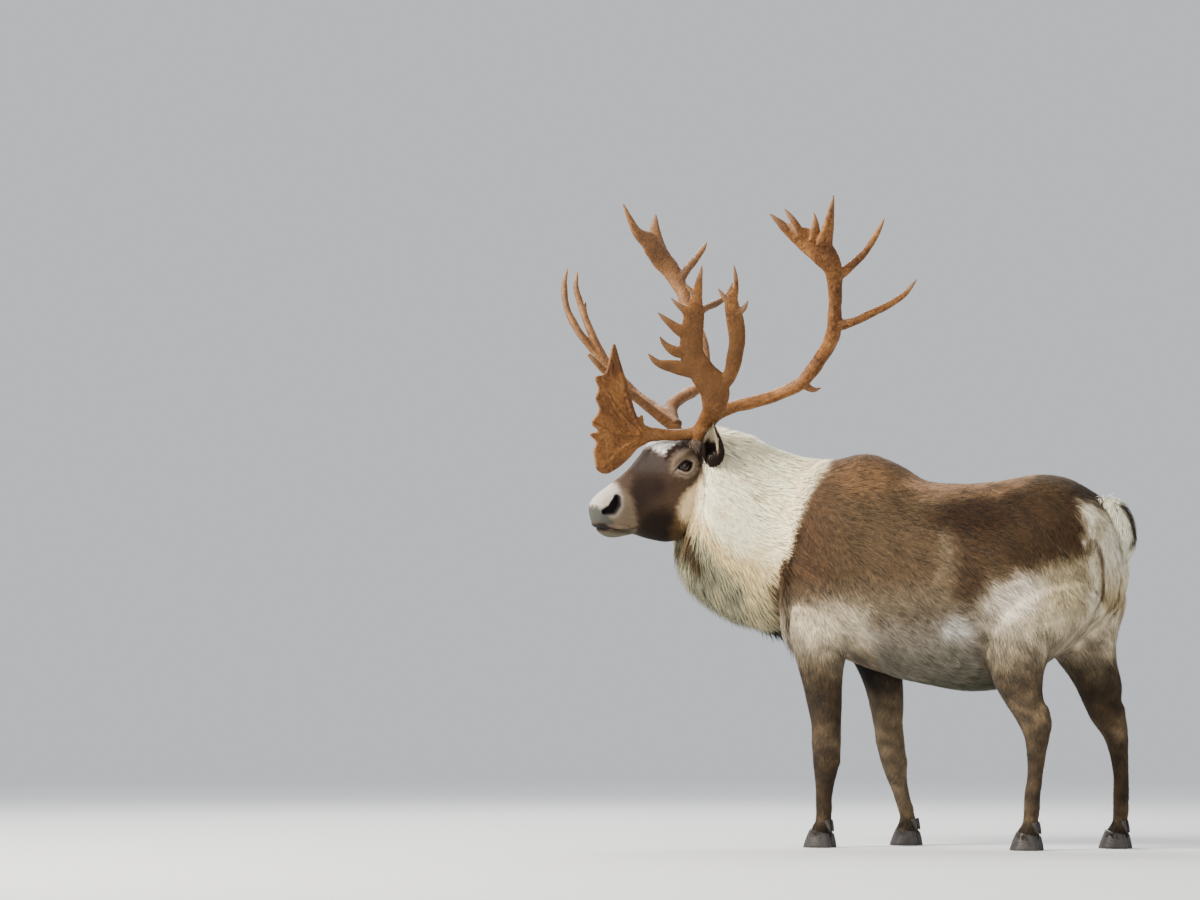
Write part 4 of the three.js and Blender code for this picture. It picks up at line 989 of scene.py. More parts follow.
def bodyColour(points):
    # the side's colours, the neck's ahead of the edge, and each leg's own by its height
    x, y, z = points.T
    colour = sideColour(points)
    wobble = waves(points, 80, 11) * 8 + waves(points, 16, 12) * 3
    heights, places = np.array(marks["edge"]).T
    ahead = smooth(np.interp(z, heights, places) - x + wobble, -24, 20)
    colour = mix(colour, neckColour(points), ahead[:, None])
    share = legShareOf(points)
    for k, limb in enumerate(limbs):
        mine = (share > 0) & ((x < 0) == (k < 2)) & ((y > 0) == (limb["side"] < 0))
        tone = legColour(limb, z + wobble * 1.6)
        cx, cy, length, width = limbPlace(limb, z)
        front = np.clip((cx - x) / length, -1, 1)
        mottle = 1 + 0.14 * waves(points, 46, 13) + 0.1 * waves(points, 17, 14)
        tone = tone * ((1 - 0.1 * front * smooth(z, 100, 300)) * mottle)[:, None]
        colour = np.where(mine[:, None], mix(colour, tone, share[:, None]), colour)
    return colour


def headColour(points):
    # the face's brown, with named outlines, eye, nostril and mouth over it, and the neck behind
    s, o, t = faceCoords(points)
    rough = waves(points, 16, 31) * 2.5 + waves(points, 6, 32) * 1.5
    ps, pt = s + rough, t + waves(points, 14, 33) * 2.5
    colour = np.broadcast_to(tones["face"], points.shape)
    colour = paint(colour, "crown", smooth(pt, -42, -14) * smooth(-ps, -150, -100) * 0.75)
    for tone, key, soft, share in (
            ("midGrey", "midGrey", 20, 0.85), ("bridge", "bridge", 26, 0.85), ("warm", "jaw", 34, 0.3),
            ("cheek", "cheek", 30, 0.9), ("noseBand", "noseBand", 14, 0.8), ("nosePale", "nosePale", 15, 0.9),
            ("muzzleTop", "muzzleTop", 12, 0.95), ("noseFront", "noseFront", 9, 0.9),
            ("chin", "chin", 7, 0.9)):
        colour = paint(colour, tone, patch(ps, pt, marks[key], soft) * share)
    streaks = np.clip(0.88 + 0.25 * waves(points, 9, 34), 0, 1)
    colour = paint(colour, "forehead", patch(ps, pt, marks["forehead"], 10) * streaks)
    colour = paint(colour, "eyeRing", patch(ps, pt, marks["ring"], 11) * mix(0.95, 0.4, smooth(t, -66, -34)))
    under = np.hypot((s - eye["along"] + 4) / 1.25, t - eye["up"])
    colour = paint(colour, "midGrey", np.exp(-((under - 27) / 2.2) ** 2) * smooth(-t, 68, 78) * 0.7)
    gap, at = lineDistance(ps, pt, marks["browArc"])
    colour = paint(colour, "browArc", smooth(-gap, -10, -3.5) * mix(0.95, 0.5, smooth(at, 7, 11)))
    gap, at = lineDistance(s, t, marks["tear"])
    colour = paint(colour, "lidRim", smooth(-gap, -4.5, -1.2) * mix(0.95, 0.3, at / 2))
    colour = paint(colour, "jawCream", patch(ps, pt, marks["jaw"], 17))
    colour = paint(colour, "jawTan", patch(ps, pt, marks["jawTan"], 20) * 0.9)
    gap, at = lineDistance(s, t, nostrilLine)
    radius = np.interp(at, range(4), nostrilSizes)
    colour = paint(colour, "muzzleTop", smooth(radius - gap, -20, -6) * smooth(-s, -402, -384) * 0.6
                   * (np.abs(o) > 15))
    colour = paint(colour, "noseDark", smooth(radius - gap, -8, 0) * 0.7 * (np.abs(o) > 15))
    colour = paint(colour, "nostril", smooth(radius - gap, -3, 1) * (np.abs(o) > 15))
    colour = paint(colour, "lip", patch(s, t, marks["lip"], 4) * 0.97)
    gap, at = lineDistance(s, t, marks["mouth"])
    colour = paint(colour, "lip", smooth(-gap, -3.2, -0.8) * mix(0.9, 0.5, smooth(at, 0, 3)))
    inside = eyeInside(s, t)
    colour = paint(colour, "lidRim", smooth(inside, -5, -2.5) * (np.abs(o) > 40))
    back = smooth(-s, -10, 60)
    colour = mix(colour, neckColour(points), back[:, None])
    for spot, reach, share in ((earBase(1), 30, 0.95), (earBase(-1), 30, 0.95),
                               (np.array([-712, -178, 1168]), 17, 0.9),
                               (np.array([-716, -186, 1146]), 11, 0.8)):
        gap = np.linalg.norm(points - spot, axis=1) + rough
        colour = paint(colour, "earTuft", smooth(-gap, -reach - 9, -reach + 5) * share)
    return colour


def earColour(points, side, inner):
    # back or inner tone, with a dark slit of painted shade down the cup's depth, a pale rim and dark hair
    # towards the base
    base = earBase(side)
    tip = earTip(side)
    axis = unit(tip - base)
    share = (points - base) @ axis / np.linalg.norm(tip - base)
    faces = headPoint(ear["faces"][0], ear["faces"][1] * side, ear["faces"][2]) - headPlace
    aside = (points - base) @ unit(np.cross(faces, axis))
    reach = np.interp(share * 5, range(6), ear["sizes"][:, 0])
    colour = np.where(inner[:, None], tones["earInner"], tones["earBack"])
    # painted shade down the middle of the cup, in the dark cheek tone
    colour = paint(colour, "cheek", smooth(-np.abs(aside + 5), -reach * 0.26, -reach * 0.1) * inner
                   * smooth(-share, -0.8, -0.6) * 0.6)
    colour = paint(colour, "jawCream", smooth(np.abs(aside), reach * 0.6, reach * 0.85) * inner
                   * smooth(share, 0.3, 0.5) * 0.4)
    colour = paint(colour, "earTuft", smooth(-share + waves(points, 30, 41) * 0.05, -0.56, -0.34))
    return paint(colour, "earRim", smooth(share, 0.8, 0.98) * 0.6)


def tailColour(points):
    # pale, with a dark line down the middle of its back
    middle = smooth(-np.abs(points[:, 1] - waves(points, 40, 51) * 3), -15, -7)
    high = smooth(points[:, 2], 925, 955) * smooth(-points[:, 2], -1056, -1044)
    return paint(np.broadcast_to(tones["tail"], points.shape), "tailDark", middle * high * 0.85)


# One skin from all the shells
noTris = np.zeros((0, 3), int)
skinParts = [(bodyPoints, bodyQuads, noTris), (headPoints, headQuads, noTris), tailSkin, *ears,
             *[(points, quads, noTris) for points, quads in lids]]
skinPoints, skinQuads, skinTris = joined(skinParts)
partNames = list(zip(("head", "tail", "leftEar", "rightEar", "leftLid", "rightLid"), skinParts[1:]))
quadNames = np.concatenate([regionsOf(bodyPoints[bodyQuads].mean(1))]
                           + [np.full(len(part[1]), name, object) for name, part in partNames])
triNames = np.concatenate([np.full(len(part[2]), name, object) for name, part in partNames])


def earInner(index):
    # the second half of each ring is the inner wall
    return (np.arange(len(ears[index][0])) % (2 * ear["around"])) >= ear["around"]


def lidColour(part):
    # the head's colours, darker ring by ring towards the edge of the lids
    return paint(headColour(part), "lidRim", np.repeat(lidDark, lidAround))


skinColours = np.concatenate([bodyColour(bodyPoints), headColour(headPoints), tailColour(tailSkin[0]),
                              earColour(ears[0][0], 1, earInner(0)), earColour(ears[1][0], -1, earInner(1)),
                              lidColour(lids[0][0]), lidColour(lids[1][0])])
report("skin colours")


def colourLayer(mesh, name, colours):
    # one colour for each point, none of them see-through
    layer = mesh.color_attributes.new(name, "FLOAT_COLOR", "POINT")
    full = np.concatenate([colours, np.ones((len(colours), 1))], 1)
    layer.data.foreach_set("color", full.astype(np.float32).ravel())


def furnish(name, surface, colours=None, corners=None, place=origin):
    # a smooth-shaded piece with its colours and its unwrap
    mesh = bareMesh(name, surface, place)
    mesh.polygons.foreach_set("use_smooth", np.ones(len(mesh.polygons), bool))
    if colours is not None:
        colourLayer(mesh, "markings", linear(np.clip(colours, 0, 1)))
    if corners is not None:
        layer = mesh.uv_layers.new(name="OFBake")
        layer.data.foreach_set("uv", corners.astype(np.float32).ravel())
    piece = bpy.data.objects.new(name, mesh)
    bpy.context.scene.collection.objects.link(piece)
    return piece


class Socket:
    # one output of a node, so that shader sums read as plain sums
    def __init__(self, finish, link):
        self.finish, self.link = finish, link

    def sum(self, operation, a, b):
        return self.finish.node("ShaderNodeMath", {"operation": operation}, {0: a, 1: b})

    def __add__(self, other):
        return self.sum("ADD", self, other)

    def __sub__(self, other):
        return self.sum("SUBTRACT", self, other)

    def __rsub__(self, other):
        return self.sum("SUBTRACT", other, self)

    def __mul__(self, other):
        return self.sum("MULTIPLY", self, other)

    __radd__, __rmul__ = __add__, __mul__


class Finish:
    # a material made node by node
    def __init__(self, name):
        self.material = bpy.data.materials.new(name)
        self.material.use_nodes = True
        self.tree = self.material.node_tree
        self.tree.nodes.clear()

    def node(self, kind, settings=None, values=None, output=0):
        made = self.tree.nodes.new(kind)
        for key, value in (settings or {}).items():
            if key == "stops":
                while len(made.color_ramp.elements) < len(value):
                    made.color_ramp.elements.new(0.5)
                for stop, (at, colour) in zip(made.color_ramp.elements, value):
                    stop.position, stop.color = at, colour
            else:
                setattr(made, key, value)
        for key, value in (values or {}).items():
            if isinstance(value, Socket):
                self.tree.links.new(value.link, made.inputs[key])
            else:
                made.inputs[key].default_value = value
        return Socket(self, made.outputs[output] if len(made.outputs) else None)

    def shade(self, **values):
        # the surface itself, with each value or link in the socket that socketNames gives
        named = {socketNames[key]: value for key, value in values.items()}
        surface = self.node("ShaderNodeBsdfPrincipled", {}, named)
        self.node("ShaderNodeOutputMaterial", {}, {"Surface": surface})
        return self.material


socketNames = {"baseColor": "Base Color", "roughness": "Roughness", "normal": "Normal",
               "specular": "Specular IOR Level", "sheenWeight": "Sheen Weight",
               "sheenRoughness": "Sheen Roughness", "coatWeight": "Coat Weight",
               "coatRoughness": "Coat Roughness", "emission": "Emission Color",
               "emissionStrength": "Emission Strength"}


def lightened(finish, colour, amount):
    # a colour times a varying amount
    grey = finish.node("ShaderNodeCombineColor", {}, {0: amount, 1: amount, 2: amount})
    return finish.node("ShaderNodeMix", {"data_type": "RGBA", "blend_type": "MULTIPLY", "clamp_factor": True},
                       {0: 1.0, 6: colour, 7: grey}, 2)


def coatMaterial(name, fine, roughness, bump):
    # coat colours from the piece, broken up by fine hair, with a soft low shine
    finish = Finish(name)
    colour = finish.node("ShaderNodeAttribute", {"attribute_name": "markings"})
    spot = finish.node("ShaderNodeTexCoord", output=3)
    grain = finish.node("ShaderNodeTexNoise", {}, {"Vector": spot, "Scale": fine, "Detail": 3.0,
                                                   "Roughness": 0.6})
    amount = grain * 0.5 + 0.76
    height = finish.node("ShaderNodeBump", {}, {"Strength": bump, "Distance": 0.002, "Height": grain})
    return finish.shade(baseColor=lightened(finish, colour, amount), roughness=grain * 0.2 + roughness,
                        normal=height, specular=0.15, sheenWeight=0.03, sheenRoughness=0.5)


skinMaterial = coatMaterial("short_coat", 420.0, 0.72, 0.5)
tuftMaterial = coatMaterial("coat_tufts", 260.0, 0.7, 0.15)
maneMaterial = coatMaterial("mane_hair", 200.0, 0.66, 0.15)

cornersOfQuads = unwrapped(skinPoints, skinQuads, quadNames)
cornersOfTris = unwrapped(skinPoints, skinTris, triNames)
skin = furnish("skin", (skinPoints, skinQuads, skinTris), skinColours,
               np.concatenate([cornersOfQuads.reshape(-1, 2), cornersOfTris.reshape(-1, 2)]))
skin.data.materials.append(skinMaterial)
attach(skin, "root")
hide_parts("torso", "neck", "head", "tail", "ear_left", "ear_right",
            *["leg_" + limb["name"] for limb in limbs])
report("skin, %d triangles" % (2 * len(skinQuads) + len(skinTris)))


def scatter(points, quads, normals, wish, count, seed):
    # evenly spread places on a surface, more of them where the wish for them is higher
    draw = np.random.default_rng(seed)
    corners = points[quads]
    area = np.linalg.norm(np.cross(corners[:, 2] - corners[:, 0], corners[:, 3] - corners[:, 1]), axis=1)
    total = np.cumsum(area * wish)
    pick = np.searchsorted(total, (np.arange(count) + draw.random(count)) / count * total[-1])
    pick = np.minimum(pick, len(quads) - 1)
    a, b = draw.random((2, count, 1))
    weights = np.stack([(1 - a) * (1 - b), a * (1 - b), a * b, (1 - a) * b], 1)
    return (corners[pick] * weights).sum(1), unit((normals[quads[pick]] * weights).sum(1)), pick


def tufts(name, material, roots, normals, flow, look, colours, places, seed):
    # flat three-sided locks: sunk at the root, lifted off the skin, laid along the coat and drawn to a tip
    draw = np.random.default_rng(seed)
    count = len(roots)
    stations = look["stations"]
    chance = draw.random((5, count))
    flow = unit(flow - normals * dot(flow, normals)[:, None])
    side = np.cross(normals, flow)
    flow = unit(flow + side * ((chance[0] - 0.5) * look["stray"])[:, None])
    side = unit(np.cross(normals, flow))
    length = look["length"] * (0.7 + 0.6 * chance[1])
    width = look["width"] * (0.75 + 0.5 * chance[2])
    lift = look["lift"] * (0.6 + 0.8 * chance[3])
    bend = (chance[4] - 0.5) * look["curl"] * length
    share = np.arange(stations) / stations
    rise = mix(-look["sink"], lift[:, None], np.minimum(share * 1.7, 1)[None] ** 0.8)
    along = length[:, None] * share
    centre = (roots[:, None] + flow[:, None] * along[..., None] + normals[:, None] * rise[..., None]
              + side[:, None] * (bend[:, None] * share ** 2)[..., None])
    if "droop" in look:
        centre = centre - axisZ * (look["droop"][:, None] * share ** 2)[..., None]
    tip = (roots + flow * length[:, None] + normals * (lift * look["tip"])[:, None] + side * bend[:, None])
    if "gather" in look:
        centre = centre + look["gather"][:, None] * (share ** 1.5)[None, :, None]
        tip = tip + look["gather"]
    if "droop" in look:
        tip = tip - axisZ * look["droop"][:, None]
    taper = np.minimum(0.6 + share * 1.4, 1) * (1 - 0.6 * share ** 1.5)
    wide = (width[:, None] * taper)[..., None] * side[:, None]
    thick = (width[:, None] * taper * look["thick"])[..., None] * normals[:, None]
    rings = np.stack([centre - wide, centre + wide, centre + thick], 2)
    points = np.concatenate([rings.reshape(count, -1, 3), tip[:, None]], 1)
    each = stations * 3 + 1
    # faces of one tuft: its sides, its tip and its root
    quads = [[3 * k + i, 3 * k + (i + 1) % 3, 3 * k + 3 + (i + 1) % 3, 3 * k + 3 + i]
             for k in range(stations - 1) for i in range(3)]
    top = 3 * (stations - 1)
    tris = [[top + i, top + (i + 1) % 3, each - 1] for i in range(3)] + [[2, 1, 0]]
    first = np.arange(count)[:, None, None] * each
    quads = np.array(quads, int).reshape(-1, 4)
    tris = np.array(tris)
    surface = (points.reshape(-1, 3), (quads + first).reshape(-1, 4), (tris + first).reshape(-1, 3))
    shade = np.concatenate([np.repeat(mix(look["rootShade"], 1.0, np.minimum(share * 1.8, 1)), 3),
                            [look["tipShade"]]])
    own = colours * (1 + look["uneven"] * draw.normal(size=(count, 1)))
    tint = (own[:, None] * shade[None, :, None]).reshape(-1, 3)
    flat = np.concatenate([np.stack([np.tile([-1, 1, 0.1], stations), np.repeat(share * 2 - 1, 3)
                                     + np.tile([0, 0, 0.12], stations)], -1), [[0, 1]]]) * 0.0015
    corners = places[:, None] + flat[None]
    corners = corners.reshape(-1, 2)[np.concatenate([surface[1].ravel(), surface[2].ravel()])]
    piece = furnish(name, surface, tint, corners)
    soft = look["softness"]
    raw = normalsOf(surface[0], surface[1], surface[2])
    blended = unit(mix(raw, np.repeat(normals, each, 0), soft))
    piece.data.normals_split_custom_set_from_vertices(blended)
    piece.data.materials.append(material)
    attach(piece, "root")
    report("%s, %d tufts, %d triangles" % (name, count, 2 * len(surface[1]) + len(surface[2])))
    return piece


def lieOnBody(points):
    # direction of the coat: back along the trunk, down the limbs, back and down the neck
    x, y, z = points.T
    one = np.ones(len(points))
    ways = np.stack([one, 0 * one, -0.3 - 0.5 * smooth(z, 1100, 800)], -1)
    front = smooth(-x, 200, 340)[:, None]
    ways = mix(ways, np.array([0.55, 0, -0.85]), front * smooth(1120 - z, 0, 120)[:, None])
    rear = smooth(x, 230, 400)[:, None]
    ways = mix(ways, np.array([0.45, 0, -1.0]), rear * smooth(1080 - z, 0, 120)[:, None])
    ways = mix(ways, np.array([0.15, 0, -1.0]), smooth(x, 470, 540)[:, None])
    legShare = legShareOf(points)[:, None]
    ways = mix(ways, np.array([1.0, 0, 0.05]), smooth(600 - z, 0, 60)[:, None] * (1 - legShare))
    ways = mix(ways, np.array([0.2, 0, -1.0]), legShare)
    return ways + 0.18 * np.stack([waves(points, 180, seed) for seed in (61, 62, 63)], -1)


def lieOnNeck(points):
    # back along the neck's middle line and down, more so underneath, with the neck's own places
    share, turn, up, side = neckCoords(points)
    middle = neckSection(np.clip(share, 0.02, 1))[0]
    ahead = unit(neckSection(np.clip(share, 0.02, 1) - 0.02)[0] - middle)
    down = np.maximum(-np.sin(turn), 0)
    fall = (0.35 + 0.9 * down ** 1.5)[:, None]
    chance = 0.2 * np.stack([waves(points, 120, seed) for seed in (64, 65, 66)], -1)
    return unit(ahead) - axisZ * fall + chance, share, turn


def lieOnFace(points):
    # back from the nose, parting round the eye, and down the cheek
    s, o, t = faceCoords(points)
    ways = -faceAlong - faceUp * (0.35 * smooth(-t, 90, 220) - 0.25 * smooth(t, -40, 20))[:, None]
    ds, dt = s - eye["along"], t - eye["up"]
    near = np.exp(-(np.hypot(ds, dt) / 34) ** 2)[:, None]
    away = unit(faceAlong * ds[:, None] + faceUp * dt[:, None])
    return ways + away * near * 1.6


shortTuft = {"sink": 0.8, "tip": 1.0, "stray": 0.35, "curl": 0.2, "thick": 0.6, "stations": 1,
             "softness": 0.66, "rootShade": 0.82, "tipShade": 1.08, "uneven": 0.15}
coat = {
    "body": {**shortTuft, "count": 110000, "length": 23.0, "width": 1.3, "lift": 4.0, "sink": 1.2,
             "stray": 0.45, "rootShade": 0.8},
    "legs": {**shortTuft, "count": 34000, "length": 14.0, "width": 1.0, "lift": 1.8},
    "face": {**shortTuft, "count": 34000, "length": 8.0, "width": 0.6, "lift": 1.1, "sink": 0.5,
             "stray": 0.3, "rootShade": 0.84, "uneven": 0.14},
    "mane": {"count": 28000, "width": 1.45, "sink": 3.0, "tip": 1.15, "stray": 0.3, "curl": 0.22,
             "thick": 0.5, "stations": 3, "softness": 0.8, "rootShade": 0.88, "tipShade": 1.02,
             "uneven": 0.04, "locks": 1500, "gather": 0.42, "perPiece": 12200},
    "tail": {"count": 4600, "length": 42.0, "width": 1.4, "lift": 11.0, "sink": 2.0, "tip": 0.9,
             "stray": 0.4, "curl": 0.3, "thick": 0.5, "stations": 3, "softness": 0.5, "rootShade": 0.78,
             "tipShade": 1.03, "uneven": 0.12},
    "ear": {**shortTuft, "count": 3000, "length": 14.0, "width": 0.7, "lift": 2.4, "sink": 0.5, "tip": 1.1,
            "stray": 0.4, "stations": 2, "softness": 0.6, "rootShade": 0.85, "tipShade": 1.1, "uneven": 0.1},
    "pastern": {**shortTuft, "count": 3600, "length": 26.0, "width": 1.1, "lift": 3.0, "tip": 1.3,
                "stations": 2, "softness": 0.65, "rootShade": 0.88, "tipShade": 1.05, "uneven": 0.09},
}


def nearestOf(points, spots):
    # number of the spot nearest to each point
    near = np.empty(len(points), int)
    for start in range(0, len(points), 4000):
        some = slice(start, start + 4000)
        near[some] = (-2 * points[some] @ spots.T + (spots ** 2).sum(1)).argmin(1)
    return near


def parted(count, most=48000):
    # slices of a run of tufts, so that each piece stays under the limit of triangles
    pieces = math.ceil(count / most)
    return [slice(count * k // pieces, count * (k + 1) // pieces) for k in range(pieces)]


def picked(look, part):
    # a look with each of its arrays cut to one part
    return {key: value[part] if isinstance(value, np.ndarray) else value for key, value in look.items()}


def coverBody():
    # short tufts on the trunk, longer at belly, seat and chest, their colours drawn out in streaks
    legShare = legShareOf(bodyPoints[bodyQuads].mean(1))
    neckShare = neckShareOf(bodyPoints[bodyQuads].mean(1))
    wish = (1 - legShare) * (1 - neckShare)
    roots, normals, faces = scatter(bodyPoints, bodyQuads, bodyNormals, wish, coat["body"]["count"], 71)
    look = dict(coat["body"])
    x, y, z = roots.T
    long = 1 + 0.5 * smooth(640 - z, 0, 120) + 0.35 * smooth(x, 480, 560) + 0.25 * smooth(-x, 360, 470)
    look["length"] = look["length"] * long * (1 - 0.45 * legShareOf(roots))
    look["lift"] = look["lift"] * (1 - 0.5 * legShareOf(roots))
    places = rootPlaces(roots, quadNames[faces])
    flow, colours = lieOnBody(roots), bodyColour(roots)
    drawn = np.stack([x * 0.55 + z * 0.3, y, z - x * 0.12], -1)
    streak = waves(drawn, 26, 72) * 0.13 + waves(drawn, 10, 73) * 0.15
    colours = colours * (1 + streak)[:, None]
    for k, part in enumerate(parted(len(roots))):
        tufts("coat_body_%d" % (k + 1), tuftMaterial, roots[part], normals[part], flow[part],
              picked(look, part), colours[part], places[part], 80 + k)


def coverLegs():
    # short tufts on the legs, longer towards the trunk, and a fringe over each hoof
    middle = bodyPoints[bodyQuads].mean(1)
    roots, normals, faces = scatter(bodyPoints, bodyQuads, bodyNormals, legShareOf(middle),
                                    coat["legs"]["count"], 91)
    look = dict(coat["legs"])
    z = roots[:, 2]
    look["length"] = look["length"] * (1 + 0.9 * smooth(z, 430, 640) + 0.35 * smooth(-z, -80, -50))
    look["width"] = look["width"] * (1 + 0.5 * smooth(z, 430, 640))
    look["lift"] = look["lift"] * (1 + 1.2 * smooth(z, 430, 640))
    tufts("coat_legs", tuftMaterial, roots, normals, lieOnBody(roots), look,
          bodyColour(roots) * (1 + 0.08 * waves(roots, 14, 93))[:, None],
          rootPlaces(roots, quadNames[faces]), 92)
    low = smooth(middle[:, 2], 50, 56) * smooth(-middle[:, 2], -96, -70)
    roots, normals, faces = scatter(bodyPoints, bodyQuads, bodyNormals, low, coat["pastern"]["count"], 94)
    flow = np.stack([0.1 + 0 * roots[:, 0], 0 * roots[:, 0], -np.ones(len(roots))], -1)
    tufts("coat_pasterns", tuftMaterial, roots, normals, flow, coat["pastern"],
          bodyColour(roots) * 0.75, rootPlaces(roots, quadNames[faces]), 95)


def coverNeck():
    # long locks on the neck and the back of the head, gathered towards every so many roots
    middle = bodyPoints[bodyQuads].mean(1)
    edge = np.interp(middle[:, 2], [620, 1200], [-560, -455])
    reach = smooth(edge - middle[:, 0], -60, -20) * (middle[:, 2] > 610)
    roots, normals, faces = scatter(bodyPoints, bodyQuads, bodyNormals, reach,
                                    int(coat["mane"]["count"] * 0.75), 101)
    s, o, t = faceCoords(headPoints[headQuads].mean(1))
    wish = smooth(-s, -66, -20) + patchJaw(s, t) * smooth(-t, 130, 190)
    more, moreNormals, _ = scatter(headPoints, headQuads, headNormals, np.minimum(wish, 1),
                                   int(coat["mane"]["count"] * 0.25), 102)
    names = np.concatenate([quadNames[faces], np.full(len(more), "head", object)])
    roots, normals = np.concatenate([roots, more]), np.concatenate([normals, moreNormals])
    flow, share, turn = lieOnNeck(roots)
    depth = coreDepth(share, turn) + 5
    look = dict(coat["mane"])
    down = np.maximum(-np.sin(turn), 0)
    slope = np.clip(dot(unit(flow), normals), 0, 1)
    length = mix(50, 105, down ** 1.5) * (1 - 0.35 * smooth(share, 0.7, 0.95))
    length = np.minimum(length, depth * 1.1 / np.maximum(slope, 0.12) + 8)
    look["length"] = np.maximum(length, 24)
    look["lift"] = np.clip(depth * 0.6, 3.5, 26)
    look["width"] = look["width"] * mix(0.9, 1.5, down ** 2)
    border = 1 - smooth(share, 0.0, 0.16)
    look["length"] = look["length"] * (1 - 0.4 * border)
    look["droop"] = look["length"] * 0.16 * down
    lockRoots = roots[:: max(len(roots) // look["locks"], 1)]
    toLock = lockRoots[nearestOf(roots, lockRoots)] - roots
    toLock = toLock - normals * dot(toLock, normals)[:, None]
    look["gather"] = toLock * (look["gather"] * mix(0.3, 1, down) * (1 - 0.8 * border))[:, None]
    face = faceCoords(roots)
    young = smooth(face[0], 0, 60)
    look["length"] = look["length"] * (1 - 0.45 * young)
    look["lift"] = look["lift"] * (1 - 0.35 * young)
    look["width"] = look["width"] * (1 - 0.35 * young)
    onHead = (np.arange(len(roots)) >= len(faces))[:, None]
    colours = np.where(onHead, headColour(roots), bodyColour(roots))
    colours = colours * (1 + 0.05 * waves(roots, 30, 103) + 0.04 * waves(roots, 12, 104))[:, None]
    order = np.random.default_rng(105).permutation(len(roots))
    places = rootPlaces(roots, names)
    for k, part in enumerate(np.array_split(order, math.ceil(len(order) / look["perPiece"]))):
        tufts("coat_mane_%d" % (k + 1), maneMaterial, roots[part], normals[part], flow[part],
              picked(look, part), colours[part], places[part], 110 + k)


def patchJaw(s, t):
    # the jaw's outline with a soft edge
    return patch(s, t, marks["jaw"], 8)


def coverFace():
    # small tufts clear of eye, nostril and mouth, shorter towards the nose
    s, o, t = faceCoords(headPoints[headQuads].mean(1))
    gap, at = lineDistance(s, t, nostrilLine)
    clear = smooth(gap, 14, 22) * smooth(-eyeInside(s, t), 6, 12) * smooth(s, 0, 40)
    mouthGap, at = lineDistance(s, t, head["mouth"])
    clear = clear * smooth(mouthGap, 3, 7) * smooth(440 - s, 0, 14)
    clear = clear * (1 - 0.75 * patchJaw(s, t) * smooth(-t, 150, 200))
    roots, normals, faces = scatter(headPoints, headQuads, headNormals, clear, coat["face"]["count"], 121)
    s, o, t = faceCoords(roots)
    look = dict(coat["face"])
    grow = 1 + 0.9 * smooth(-s, -140, -20) + 0.5 * smooth(-t, 190, 260) + 0.7 * smooth(t, -10, 20)
    shrink = 1 - 0.45 * smooth(s, 250, 380)
    look["length"] = look["length"] * grow * shrink
    look["width"] = look["width"] * mix(1, grow, 0.6) * mix(1, shrink, 0.6)
    look["lift"] = look["lift"] * grow * shrink
    colours = headColour(roots) * (1 + 0.09 * waves(roots, 10, 123) + 0.1 * waves(roots, 4.5, 124))[:, None]
    tufts("coat_face", tuftMaterial, roots, normals, lieOnFace(roots), look, colours,
          rootPlaces(roots, np.full(len(roots), "head", object)), 122)


def coverTail():
    # long tufts down the tail, shorter at its end
    points, quads, tris = tailSkin
    roots, normals, faces = scatter(points, quads, normalsOf(points, quads, tris), np.ones(len(quads)),
                                    coat["tail"]["count"], 131)
    look = dict(coat["tail"])
    look["length"] = look["length"] * (1 - 0.35 * smooth(-roots[:, 2], -960, -890))
    flow = np.stack([0.25 * smooth(roots[:, 2], 1000, 1050), 0.2 * np.sign(roots[:, 1]),
                     -np.ones(len(roots))], -1)
    tufts("coat_tail", maneMaterial, roots, normals, flow, look, tailColour(roots),
          rootPlaces(roots, np.full(len(roots), "tail", object)), 132)


def coverEars():
    # tufts along each ear, longer inside and near its base
    for index, side, name in ((0, 1, "left"), (1, -1, "right")):
        points, quads, tris = ears[index]
        normals = normalsOf(points, quads, tris)
        roots, rootNormals, faces = scatter(points, quads, normals, np.ones(len(quads)),
                                            coat["ear"]["count"], 141)
        base = earBase(side)
        tip = earTip(side)
        axis = unit(tip - base)
        share = (roots - base) @ axis / np.linalg.norm(tip - base)
        inner = earInner(index)[quads[faces][:, 0]]
        look = dict(coat["ear"])
        look["length"] = look["length"] * (1 + 0.8 * smooth(-share, -0.4, -0.15) + 0.4 * inner)
        look["lift"] = look["lift"] * (1 + 0.8 * inner)
        flow = np.broadcast_to(axis, roots.shape) + 0.2 * rootNormals
        region = "leftEar" if side > 0 else "rightEar"
        tufts("coat_ear_" + name, tuftMaterial, roots, rootNormals, flow, look,
              earColour(roots, side, inner), rootPlaces(roots, np.full(len(roots), region, object)), 142)


coverBody()
coverLegs()
coverNeck()
coverFace()
coverTail()
coverEars()

